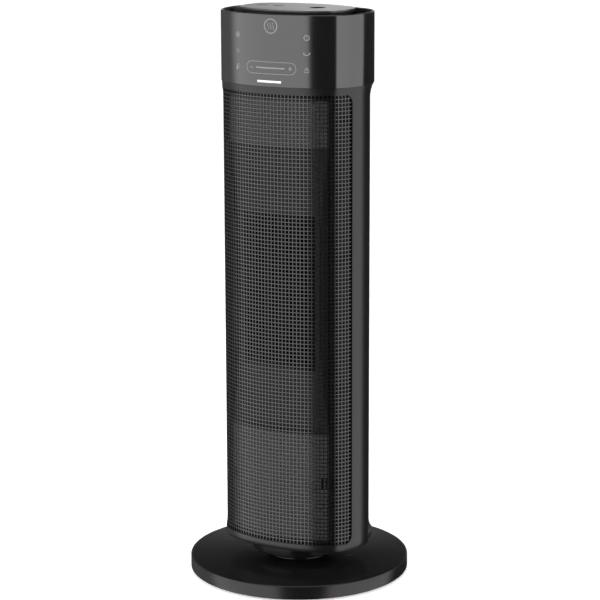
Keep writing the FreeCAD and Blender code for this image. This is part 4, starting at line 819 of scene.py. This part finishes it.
    def guide(self):
        """Panel behind the grille: dark grey, with a painted shadow (black) where it tucks under the casing's
        edge and painted shade (darker) in the recess band and beyond the flanks.
        """
        paint = moulded("guide_panel", (0.05, 0.05, 0.051), 0.42, 1800.0, 0.02, 0.12, 0.05)
        # Painted shadow: near the grille's top and bottom edges the panel is painted black, standing in for
        # the shade of the casing's edge.
        border = 8.2 * MM
        fade = 1.0 * MM
        rise = paint.axis("Z")
        start = low("front_grille")[2] + border
        stop = high("front_grille")[2] - border - fade
        seen = rise.ramp(start, start + fade) * rise.ramp(stop, stop - fade)
        # Painted shade: inside the recess band the panel is painted dark, and darker still beyond the flanks.
        # Elsewhere it keeps its own grey.
        aside = paint.axis("X").size()
        flank = 61 * MM
        under = rise.ramp(RECESS_LOW, RECESS_LOW - fade)
        over = rise.ramp(RECESS_HIGH, RECESS_HIGH + fade)
        outside_painted_recess_shade = under.greater(over)
        light = seen * outside_painted_recess_shade * aside.ramp(flank + 4 * MM, flank)
        drift = paint.noise(14.0, 3.0)
        grey = paint.blend(drift, (0.066, 0.066, 0.067, 1), (0.082, 0.082, 0.083, 1))
        painted_flank_shade_mask = aside.ramp(flank, flank + 2 * MM)
        painted_recess_and_flank_shade = paint.blend(painted_flank_shade_mask, (0.014, 0.014, 0.0145, 1), (0.004, 0.004, 0.004, 1))
        painted_shadow_colour = paint.blend(seen, (0.001, 0.001, 0.001, 1), painted_recess_and_flank_shade)
        paint.set(Base_Color=paint.blend(light, painted_shadow_colour, grey), Specular_IOR_Level=0.12)

    def board(self):
        """Lacquered circuit board with faint tracks."""
        paint = Paint("board_green")
        tracks = paint.cells(160.0, "DISTANCE_TO_EDGE").ramp(0.06, 0.10)
        colour = paint.blend(tracks, (0.10, 0.30, 0.12, 1), (0.02, 0.13, 0.06, 1))
        paint.set(Base_Color=colour, Roughness=tracks * 0.12 + 0.26)
        paint.bump(tracks * -1.0, 0.03 * MM)

    def filter_weave(self):
        """Fine woven filter cloth."""
        paint = Paint("filter_weave")
        across = (paint.axis("X") * 3100.0).wave().size()
        up = (paint.axis("Z") * 3100.0).wave().size()
        threads = across.greater(up)
        paint.set(Base_Color=paint.blend(threads, (0.02, 0.02, 0.021, 1), (0.16, 0.16, 0.17, 1)),
                  Roughness=0.85 - threads * 0.15)
        paint.bump(threads, 0.15 * MM)


class HEATER_OT_base(bpy.types.Operator):
    """Round base cover with its hub, the collar above it and the rubber feet"""
    bl_idname = "heater.base"
    bl_label = "Base"

    def execute(self, context):
        bottom = low("base_cover")[2]
        hub_top = high("base_cover")[2]
        top = high("tip_switch")[2] + 2.5 * MM
        hub = high("slide_ring")[0] + 4 * MM
        post = 20 * MM
        wall = 2.5 * MM
        radius = BASE_RADIUS
        cover = turned("base_cover_round", [
            (post, hub_top - wall, 0), (post, hub_top, 0.3 * MM), (hub, hub_top, 1.2 * MM),
            (hub, top, 1.0 * MM), (radius, top, 2.2 * MM), (radius, bottom, 0.6 * MM),
            (radius - wall, bottom, 0.3 * MM), (radius - wall, top - wall, 1 * MM),
            (hub - wall, top - wall, 0.3 * MM), (hub - wall, hub_top - wall, 0.3 * MM)], steps=224)
        finished(new_object("base_cover_round", cover), "base", "base_satin", "base_black", "base_cover")

        collar_low = low("swivel_collar")[2]
        collar = high("swivel_collar")[0]
        sleeve_top = high("swivel_collar")[2]
        inner = post + 0.05 * MM
        sleeve = inner + 4 * MM
        ring = turned("collar_round", [
            (inner, collar_low, 0), (collar, collar_low, 2.0 * MM), (collar, TOWER_BOTTOM, 0.2 * MM),
            (collar - wall, TOWER_BOTTOM, 0), (collar - wall, collar_low + wall, 1 * MM),
            (sleeve, collar_low + wall, 0.5 * MM), (sleeve, sleeve_top, 0.3 * MM), (inner, sleeve_top, 0)],
            steps=160)
        finished(new_object("collar_round", ring), TOWER, "casing_satin", "black_shell", "swivel_collar")

        feet = islands("base_feet")
        foot_low, foot_high = feet[0]
        size = (foot_high.x - foot_low.x) / 2
        tall = foot_high.z - foot_low.z
        pad = turned("foot_pad", [
            (0, 0, 0), (size - 2 * MM, 0, 0), (size - 1.6 * MM, 0.5 * MM, 0.2 * MM),
            (size - 1.0 * MM, 0, 0.2 * MM), (size - 0.4 * MM, 0, 0.4 * MM), (size, tall, 0.1 * MM),
            (0, tall, 0)], steps=48)
        spots = [((start.x + stop.x) / 2, (start.y + stop.y) / 2, start.z) for start, stop in feet]
        piece = set_parts("rubber_feet", pad, spots, (0, 0, 0), "rubber_foot")
        finished(piece, "base", "rubber_foot", "rubber_black", "base_feet")
        return {"FINISHED"}


def set_parts(name, mesh, spots, turn, finish):
    """One mesh with a copy of a part at each spot."""
    sample = new_object(f"{name}_sample", mesh)
    points = bpy.data.meshes.new(name)
    points.from_pydata(spots, [], [])
    piece = grown(name, points, scatter_tree(),
                  {"Part": sample, "Turn": turn, "Finish": FINISHES[finish]})
    bpy.data.objects.remove(sample)
    return piece


class HEATER_OT_screws(bpy.types.Operator):
    """Pan-head screws with a cross recess where the casing and the base show them"""
    bl_idname = "heater.screws"
    bl_label = "Screws"

    def execute(self, context):
        head = 3.0 * MM
        arm = 0.42 * MM
        reach = 1.75 * MM
        cross = [(arm, reach), (-arm, reach), (-arm, arm), (-reach, arm), (-reach, -arm), (-arm, -arm),
                 (-arm, -reach), (arm, -reach), (arm, -arm), (reach, -arm), (reach, arm), (arm, arm)]
        top = plate("screw_top", [circle_outline(0, 0, head, 28), cross], 0.6 * MM, 1.5 * MM, 0.12 * MM)
        stem = turned("screw_stem", [
            (0, -2 * MM, 0), (1.4 * MM, -2 * MM, 0), (1.4 * MM, 0, 0), (head, 0, 0.1 * MM),
            (head, 0.65 * MM, 0), (0, 0.65 * MM, 0)], steps=28)
        screw = joined("screw", [top, stem])
        for name, node, body, turn in (("casing_screws", "housing_screws", TOWER, (-math.pi / 2, 0, 0)),
                                       ("base_screws_set", "base_screws", "base", (math.pi, 0, 0))):
            spots = []
            for start, stop in islands(node):
                middle = (start + stop) / 2
                if body == TOWER:
                    spots.append((middle.x, stop.y - 1.5 * MM, middle.z))
                else:
                    spots.append((middle.x, middle.y, start.z + 1.5 * MM))
            piece = set_parts(name, screw.copy(), spots, turn, "zinc_bright")
            finished(piece, body, "zinc_bright", "screw_steel", node)
        return {"FINISHED"}


class HEATER_OT_casing(bpy.types.Operator):
    """Front casing with its opening, and the punched grille behind it"""
    bl_idname = "heater.casing"
    bl_label = "Casing and grille"

    def execute(self, context):
        grille = settings("heater_grille")
        tuck = 2.8 * MM
        side = CASING.where_y(high("front_grille")[1] - tuck)
        bottom = low("front_grille")[2] + tuck
        top = high("front_grille")[2] - tuck
        edge = CASING.where_y(PARTING)
        sheet = opened_sheet("front_casing", (-edge, edge, TOWER_BOTTOM, SEAM), (-side, side, bottom, top),
                             10 * MM, 0.0)
        finished(walled("front_casing", sheet, 2.5 * MM, 0.45 * MM, 3), TOWER, "casing_satin", "black_gloss",
                 "front_frame")

        lip = 0.6 * MM
        columns = round(2 * side / grille.pitch)
        rows = round((top - bottom) / grille.pitch)
        across = [-side - lip] + spread(-side, side, 2 * side / columns) + [side + lip]
        up = [bottom - lip] + spread(bottom, top, (top - bottom) / rows) + [top + lip]
        depth = 1.3 * MM
        verts = [CASING.skin(along, height, depth) for height in up for along in across]
        width = len(across)
        faces = []
        open_cells = []
        for row in range(len(up) - 1):
            for column in range(width - 1):
                corner = row * width + column
                faces.append((corner, corner + 1, corner + width + 1, corner + width))
                open_cells.append(0 < row < len(up) - 2 and 0 < column < width - 2)
        seed = bpy.data.meshes.new("front_grille_punched")
        seed.from_pydata([tuple(vert) for vert in verts], [], faces)
        marker = seed.attributes.new("open_cell", "BOOLEAN", "FACE")
        marker.data.foreach_set("value", open_cells)
        share = 1 - grille.bar / grille.pitch
        piece = grown("front_grille_punched", seed, punch_tree(),
                      {"Hole share": share, "Sheet thickness": 1.0 * MM, "Finish": FINISHES["grille_coat"]})
        finished(piece, TOWER, "grille_coat", "grille_black", "front_grille")
        return {"FINISHED"}


class HEATER_OT_rear_cover(bpy.types.Operator):
    """Louvred filter cover on the back"""
    bl_idname = "heater.rear_cover"
    bl_label = "Rear cover"

    def execute(self, context):
        pitch = settings("heater_grille").louvre_pitch
        middle = CASING.length / 2
        half = high("filter_cover")[0]
        reach = CASING.where_x(half)
        bottom = low("filter_cover")[2]
        top = high("filter_cover")[2]
        border = 9 * MM
        depth = 4 * MM
        hole = (middle - reach + border, middle + reach - border, bottom + border, top - border)
        sheet = opened_sheet("rear_cover_frame", (middle - reach, middle + reach, bottom, top), hole, 4 * MM,
                             depth)
        rim_piece = walled("rear_cover_frame", sheet, 2.5 * MM, 0.5 * MM)
        rows = int((hole[3] - hole[2]) / pitch)
        step = (hole[3] - hole[2]) / rows
        slat = swept("rear_slat", [
            (depth + 0.2 * MM, 2.2 * MM, 0.5 * MM), (depth + 0.4 * MM, -0.6 * MM, 0.4 * MM),
            (depth + 2.4 * MM, -2.4 * MM, 0.4 * MM), (depth + 2.4 * MM, 0.6 * MM, 0.4 * MM)],
            hole[0] - 0.5 * MM, hole[1] + 0.5 * MM, 3 * MM)
        slat.transform(Matrix.Translation((0, 0, hole[2] + step / 2)))
        slats = grown("rear_slats", slat, stack_tree(),
                      {"Count": rows, "Pitch": step, "Finish": FINISHES["shell_matt"]})
        rib = swept("rear_rib", [(depth + 0.3 * MM, hole[2], 0), (depth + 2.5 * MM, hole[2], 0),
                                 (depth + 2.5 * MM, hole[3], 0), (depth + 0.3 * MM, hole[3], 0)],
                    middle - 2 * MM, middle + 2 * MM, 2 * MM)
        whole = joined("rear_cover_louvred", [rim_piece.data, slats.data, rib])
        bpy.data.objects.remove(rim_piece)
        bpy.data.objects.remove(slats)
        finished(new_object("rear_cover_louvred", whole), "filter", "shell_matt", "black_shell",
                 "filter_cover")
        return {"FINISHED"}


class HEATER_OT_head(bpy.types.Operator):
    """Head shell, the recessed deck and the lid with its keys"""
    bl_idname = "heater.head"
    bl_label = "Head"

    def execute(self, context):
        proud = -HEAD_PROUD
        inner = proud + 2.5 * MM
        shell = swept("head_shell_round", [
            (proud, SEAM, 0.45 * MM), (proud, RIM, 1.0 * MM), (inner, RIM, 1.0 * MM),
            (inner, SEAM, 0.1 * MM)])
        finished(new_object("head_shell_round", shell), TOWER, "casing_gloss", "black_gloss", "head_shell")

        gap = 0.3 * MM
        holes = []
        keys = (("mode_button", "mode_key", "mode_key_cap"), ("timer_button", "timer_key", "timer_key_cap"))
        for node, body, name in keys:
            start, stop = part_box(node)
            middle = ((start[0] + stop[0]) / 2, (start[1] + stop[1]) / 2)
            brim = (stop[0] - start[0]) / 2
            size = brim - 1.8 * MM
            holes.append(circle_outline(middle[0], middle[1], size + gap))
            cap = turned(name, [
                (0, start[2], 0), (brim, start[2], 0.3 * MM), (brim, start[2] + 4.2 * MM, 0.3 * MM),
                (size, start[2] + 4.2 * MM, 0.2 * MM), (size, stop[2], 0.6 * MM),
                (size - 1.4 * MM, stop[2], 0.4 * MM), (size - 2.2 * MM, stop[2] - 0.35 * MM, 0.8 * MM),
                (0, stop[2] - 0.45 * MM, 0)], middle, 64)
            finished(new_object(name, cap), body, "key_grey", "button_grey", node)
        start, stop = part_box("remote_window")
        eye = (start[0] + stop[0]) / 2
        size = (stop[0] - start[0]) / 2
        holes.append(circle_outline(eye, 0, size))
        lens = turned("remote_lens", [
            (0, start[2], 0), (size - 0.1 * MM, start[2], 0), (size - 0.1 * MM, stop[2] - 0.1 * MM, 0.6 * MM),
            (size - 1.2 * MM, stop[2] - 0.15 * MM, 0.5 * MM), (0, stop[2] - 0.5 * MM, 0)], (eye, 0), 64)
        finished(new_object("remote_lens", lens), TOWER, "eye_gloss", "eye_dark", "remote_window")
        inset = HALF_WIDTH - high("top_lid")[0]
        lid = plate("lid_plate", [oval_outline(inset)] + holes, LID_BOTTOM, LID_TOP, 0.9 * MM)
        finished(new_object("lid_plate", lid), TOWER, "lid_grey", "lid_grey", "top_lid")
        return {"FINISHED"}


class Pen:
    """Draws thin printed marks on the head in (across, up), measured from a mark's middle."""

    def __init__(self, width):
        self.width = width
        self.verts = []
        self.faces = []
        self.origin = (0.0, 0.0)

    def ribbon(self, points, closed=False, width=None):
        half = (width or self.width) / 2
        points = [Vector(point) for point in points]
        count = len(points)
        edges = []
        for index, point in enumerate(points):
            before = points[index - 1] if closed or index else point
            after = points[(index + 1) % count] if closed or index < count - 1 else point
            run = (after - before).normalized()
            side = Vector((-run.y, run.x)) * half
            edges.append((point + side, point - side))
        self.strip(edges, closed)

    def strip(self, edges, closed):
        start = len(self.verts)
        for first, second in edges:
            for depth in (-HEAD_PROUD - 0.06 * MM, -HEAD_PROUD + 0.06 * MM):
                for point in (first, second):
                    across = CASING.where_x(self.origin[0] + point.x)
                    self.verts.append(CASING.skin(across, self.origin[1] + point.y, depth))
        count = len(edges)
        for index in range(count if closed else count - 1):
            here = start + index * 4
            then = start + (index + 1) % count * 4
            for a, b in ((0, 1), (1, 3), (3, 2), (2, 0)):
                self.faces.append((here + a, here + b, then + b, then + a))
        if not closed:
            last = start + (count - 1) * 4
            self.faces.append((start, start + 2, start + 3, start + 1))
            self.faces.append((last, last + 1, last + 3, last + 2))

    def arc(self, radius, start=0.0, stop=360.0, middle=(0, 0), width=None):
        closed = abs(stop - start) >= 360
        steps = max(8, int(abs(stop - start) / 10))
        angles = [math.radians(start + (stop - start) * step / steps) for step in range(steps + (not closed))]
        self.ribbon([(middle[0] + radius * math.cos(angle), middle[1] + radius * math.sin(angle))
                     for angle in angles], closed, width)

    def dot(self, radius, middle=(0, 0)):
        self.arc(radius / 2, middle=middle, width=radius * 0.98)

    def wavy(self, length, height, turns, upright=False, middle=(0, 0)):
        points = []
        for step in range(25):
            along = length * (step / 24 - 0.5)
            aside = height * math.sin(2 * math.pi * turns * step / 24)
            across, up = (aside, along) if upright else (along, aside)
            points.append((middle[0] + across, middle[1] + up))
        self.ribbon(points)


class HEATER_OT_marks(bpy.types.Operator):
    """Printed touch marks on the front of the head"""
    bl_idname = "heater.marks"
    bl_label = "Marks"

    def execute(self, context):
        marks = settings("heater_marks")
        pen = Pen(marks.stroke)
        top = RIM - 12.9 * MM
        pen.origin = (2.0 * MM, top)
        pen.arc(marks.ring_radius, width=1.1 * MM)
        for offset in (-3, 0, 3):
            pen.wavy(7.5 * MM, 0.75 * MM, 1.0, True, (offset * MM, 0))
        first = RIM - 24.6 * MM
        icons = ((-marks.column, (self.fan, self.breeze, self.thermometer)),
                 (marks.column, (self.clock, self.swing, self.padlock)))
        for across, column in icons:
            for row, draw in enumerate(column):
                pen.origin = (across, first - marks.spacing * row)
                draw(pen)
        pen.origin = (0.8 * MM, RIM - 59.3 * MM)
        self.slider(pen)
        mesh = from_faces("head_marks", pen.verts, pen.faces)
        finished(new_object("head_marks", mesh), TOWER, "print_grey", "white_plastic")
        bar = Pen(2.3 * MM)
        bar.origin = (-0.5 * MM, RIM - 74.5 * MM)
        bar.ribbon([(step * 1.5 * MM, 0) for step in range(-10, 11)])
        mesh = from_faces("head_bar", bar.verts, bar.faces)
        finished(new_object("head_bar", mesh), TOWER, "print_white", "white_plastic")
        return {"FINISHED"}

    def fan(self, pen):
        pen.arc(2.9 * MM)
        for turn in (90, 210, 330):
            angle = math.radians(turn)
            middle = (1.3 * MM * math.cos(angle), 1.3 * MM * math.sin(angle))
            pen.arc(0.75 * MM, middle=middle, width=0.6 * MM)

    def breeze(self, pen):
        pen.wavy(6.0 * MM, 0.8 * MM, 1.0, middle=(0, 1.2 * MM))
        pen.wavy(6.0 * MM, 0.8 * MM, 1.0, middle=(0, -1.2 * MM))

    def thermometer(self, pen):
        pen.dot(1.5 * MM, (-1.2 * MM, -1.9 * MM))
        pen.ribbon([(-1.2 * MM, -1.9 * MM), (-1.2 * MM, 2.8 * MM)], width=1.2 * MM)
        for rise in (0.0, 1.4, 2.8):
            pen.ribbon([(0.6 * MM, rise * MM), (2.2 * MM, rise * MM)], width=0.6 * MM)

    def clock(self, pen):
        pen.arc(2.8 * MM, width=0.9 * MM)
        pen.ribbon([(0, 1.7 * MM), (0, 0), (1.2 * MM, -0.6 * MM)], width=0.6 * MM)

    def swing(self, pen):
        pen.arc(3.4 * MM, 205, 335, (0, 1.8 * MM), 1.0 * MM)
        pen.dot(0.9 * MM, (-3.0 * MM, 0.6 * MM))
        pen.dot(0.9 * MM, (3.0 * MM, 0.6 * MM))

    def padlock(self, pen):
        body = [(-2.2 * MM, -2.6 * MM), (2.2 * MM, -2.6 * MM), (2.2 * MM, 0.6 * MM), (-2.2 * MM, 0.6 * MM)]
        pen.ribbon(body, True, 0.7 * MM)
        pen.arc(1.4 * MM, 0, 180, (0, 0.9 * MM), 0.7 * MM)
        pen.dot(0.5 * MM, (0, -1.0 * MM))

    def slider(self, pen):
        half = 31 * MM
        tall = 6.6 * MM
        outline = []
        for way, start in ((1, -90), (-1, 90)):
            for step in range(13):
                angle = math.radians(start + 15 * step)
                outline.append((way * (half - tall) + tall * math.cos(angle), tall * math.sin(angle)))
            if way == 1:
                outline += [(x * MM, tall) for x in range(20, -21, -4)]
            else:
                outline += [(x * MM, -tall) for x in range(-20, 21, 4)]
        pen.ribbon(outline, True, 0.6 * MM)
        pen.ribbon([(x * MM, 0) for x in range(-18, 19, 3)], width=1.5 * MM)
        pen.ribbon([(-26 * MM, 0), (-22.4 * MM, 0)], width=1.0 * MM)
        pen.ribbon([(22.4 * MM, 0), (26.4 * MM, 0)], width=1.0 * MM)
        pen.ribbon([(24.4 * MM, -2 * MM), (24.4 * MM, 2 * MM)], width=1.0 * MM)


class HEATER_OT_stage(bpy.types.Operator):
    """Pale floor, studio light and the camera"""
    bl_idname = "heater.stage"
    bl_label = "Stage"

    def execute(self, context):
        stage = settings("heater_stage")
        self.floor(stage)
        self.world(stage)
        self.lights()
        self.camera(stage)
        context.scene.view_settings.view_transform = "Standard"
        return {"FINISHED"}

    def floor(self, stage):
        steps = stage.circle_steps
        reach = 14.0
        verts = [(reach * math.cos(2 * math.pi * step / steps), reach * math.sin(2 * math.pi * step / steps),
                  -0.2 * MM) for step in range(steps)]
        mesh = bpy.data.meshes.new("studio_floor")
        mesh.from_pydata(verts, [], [tuple(range(steps))])
        floor = new_object("studio_floor", mesh)
        paint = Paint("studio_floor")
        paint.set(Base_Color=paint.blend(paint.noise(3.0), (0.86, 0.86, 0.86, 1), (0.88, 0.88, 0.88, 1)),
                  Roughness=0.9, Specular_IOR_Level=0.1, Emission_Color=(1, 1, 1, 1), Emission_Strength=0.5)
        mesh.materials.append(paint.material)
        floor.visible_glossy = False

    def world(self, stage):
        """White to the eye, and tall soft light bands all round for the gloss to mirror."""
        world = bpy.data.worlds.new("studio")
        bpy.context.scene.world = world
        world.use_nodes = True
        tree = world.node_tree
        tree.nodes.clear()

        def add(kind, settings=None, inputs=None):
            node = tree.nodes.new(kind)
            for key, value in (settings or {}).items():
                setattr(node, key, value)
            for key, value in (inputs or {}).items():
                if isinstance(value, bpy.types.NodeSocket):
                    tree.links.new(value, node.inputs[key])
                else:
                    node.inputs[key].default_value = value
            return node

        place = add("ShaderNodeTexCoord").outputs["Generated"]
        split = add("ShaderNodeSeparateXYZ", None, {0: place})
        ahead = add("ShaderNodeMath", {"operation": "MULTIPLY"}, {0: split.outputs["Y"], 1: -1.0})
        angle = add("ShaderNodeMath", {"operation": "ARCTAN2"}, {0: split.outputs["X"], 1: ahead.outputs[0]})
        turn = add("ShaderNodeMapRange", None,
                   {"Value": angle.outputs[0], "From Min": -math.pi, "From Max": math.pi})
        bands = add("ShaderNodeValToRGB", None, {0: turn.outputs[0]})
        dark = 0.012
        stops = [(-180, dark), (-146, dark), (-118, 0.05), (-76, 0.20), (-66, 0.92), (-30, 0.97), (7.0, 1.0),
                 (9.5, dark), (57.5, dark), (60.5, 1.0), (95, 0.9), (138, 0.55), (142, dark), (180, dark)]
        ramp = bands.color_ramp
        while len(ramp.elements) > 1:
            ramp.elements.remove(ramp.elements[-1])
        for number, (degrees, level) in enumerate(stops):
            position = (degrees + 180) / 360
            element = ramp.elements[0] if number == 0 else ramp.elements.new(position)
            element.position = position
            element.color = (level, level, level, 1)
        rise = add("ShaderNodeMath", {"operation": "ABSOLUTE"}, {0: split.outputs["Z"]})
        window = add("ShaderNodeMapRange", {"interpolation_type": "SMOOTHSTEP"},
                     {"Value": rise.outputs[0], "From Min": 0.5, "From Max": 0.75, "To Min": 1.0,
                      "To Max": 0.0})
        level = add("ShaderNodeMath", {"operation": "MULTIPLY"},
                    {0: window.outputs[0], 1: bands.outputs[0]})
        low_glow = add("ShaderNodeMapRange", {"interpolation_type": "SMOOTHSTEP"},
                       {"Value": split.outputs["Z"], "From Min": 0.0, "From Max": 0.05})
        low_end = add("ShaderNodeMapRange", {"interpolation_type": "SMOOTHSTEP"},
                      {"Value": split.outputs["Z"], "From Min": 0.12, "From Max": 0.2, "To Min": 0.22,
                       "To Max": 0.0})
        behind = add("ShaderNodeMapRange", {"interpolation_type": "SMOOTHSTEP"},
                     {"Value": ahead.outputs[0], "From Min": -0.5, "From Max": -0.8})
        patch = add("ShaderNodeMath", {"operation": "MULTIPLY"},
                    {0: low_glow.outputs[0], 1: low_end.outputs[0]})
        patch = add("ShaderNodeMath", {"operation": "MULTIPLY"},
                    {0: patch.outputs[0], 1: behind.outputs[0]})
        level = add("ShaderNodeMath", {"operation": "ADD"}, {0: level.outputs[0], 1: patch.outputs[0]})
        strength = add("ShaderNodeMath", {"operation": "MULTIPLY"}, {0: level.outputs[0], 1: stage.light})
        glow = add("ShaderNodeBackground", None, {"Color": (1, 1, 1, 1), "Strength": strength.outputs[0]})
        white = add("ShaderNodeBackground", None, {"Color": (1, 1, 1, 1), "Strength": 1.0})
        seen = add("ShaderNodeLightPath").outputs["Is Camera Ray"]
        mix = add("ShaderNodeMixShader", None, {0: seen, 1: glow.outputs[0], 2: white.outputs[0]})
        out = add("ShaderNodeOutputWorld", None, {0: mix.outputs[0]})
        out.is_active_output = True

    def lights(self):
        lamp = bpy.data.lights.new("overhead_softbox", "AREA")
        lamp.shape = "DISK"
        lamp.size = 2.4
        lamp.energy = 42.0
        holder = bpy.data.objects.new("overhead_softbox", lamp)
        holder.location = (0.2, -0.3, 2.6)
        holder.visible_camera = False
        bpy.context.scene.collection.objects.link(holder)

    def camera(self, stage):
        lens = bpy.data.cameras.new("studio_camera")
        lens.sensor_width = 36
        lens.lens = 135.68
        lens.clip_end = 100
        eye = bpy.data.objects.new("studio_camera", lens)
        heading = stage.azimuth - math.radians(0.043)
        roll = math.radians(-0.185)
        turn = (Matrix.Rotation(heading, 4, "Z") @ Matrix.Rotation(math.pi / 2 - stage.pitch, 4, "X")
                @ Matrix.Rotation(roll, 4, "Z"))
        spot = Vector((stage.distance * math.sin(stage.azimuth), -stage.distance * math.cos(stage.azimuth),
                       stage.height))
        eye.matrix_world = Matrix.Translation(spot) @ turn
        bpy.context.scene.collection.objects.link(eye)
        bpy.context.scene.camera = eye


class HEATER_PT_panel(bpy.types.Panel):
    """Heater pieces in the sidebar"""
    bl_idname = "HEATER_PT_panel"
    bl_label = "Tower heater"
    bl_space_type = "VIEW_3D"
    bl_region_type = "UI"
    bl_category = "Heater"

    def draw(self, context):
        for name in ("heater_colours", "heater_grille", "heater_marks", "heater_stage"):
            group = settings(name)
            box = self.layout.box()
            for key in group.__annotations__:
                box.prop(group, key)
        for operator in OPERATORS:
            self.layout.operator(operator.bl_idname)


OPERATORS = (HEATER_OT_finishes, HEATER_OT_base, HEATER_OT_screws, HEATER_OT_casing, HEATER_OT_rear_cover,
             HEATER_OT_head, HEATER_OT_marks, HEATER_OT_stage)
GROUPS = {"heater_colours": HeaterColours, "heater_grille": HeaterGrille, "heater_marks": HeaterMarks,
          "heater_stage": HeaterStage}
CLASSES = tuple(GROUPS.values()) + OPERATORS + (HEATER_PT_panel,)


def register():
    for item in CLASSES:
        bpy.utils.register_class(item)
    for name, group in GROUPS.items():
        setattr(bpy.types.Scene, name, PointerProperty(type=group))


def unregister():
    for name in GROUPS:
        delattr(bpy.types.Scene, name)
    for item in reversed(CLASSES):
        bpy.utils.unregister_class(item)


def main():
    register()
    for operator in OPERATORS:
        family, name = operator.bl_idname.split(".")
        getattr(getattr(bpy.ops, family), name)()


if __name__ == "__main__":
    main()
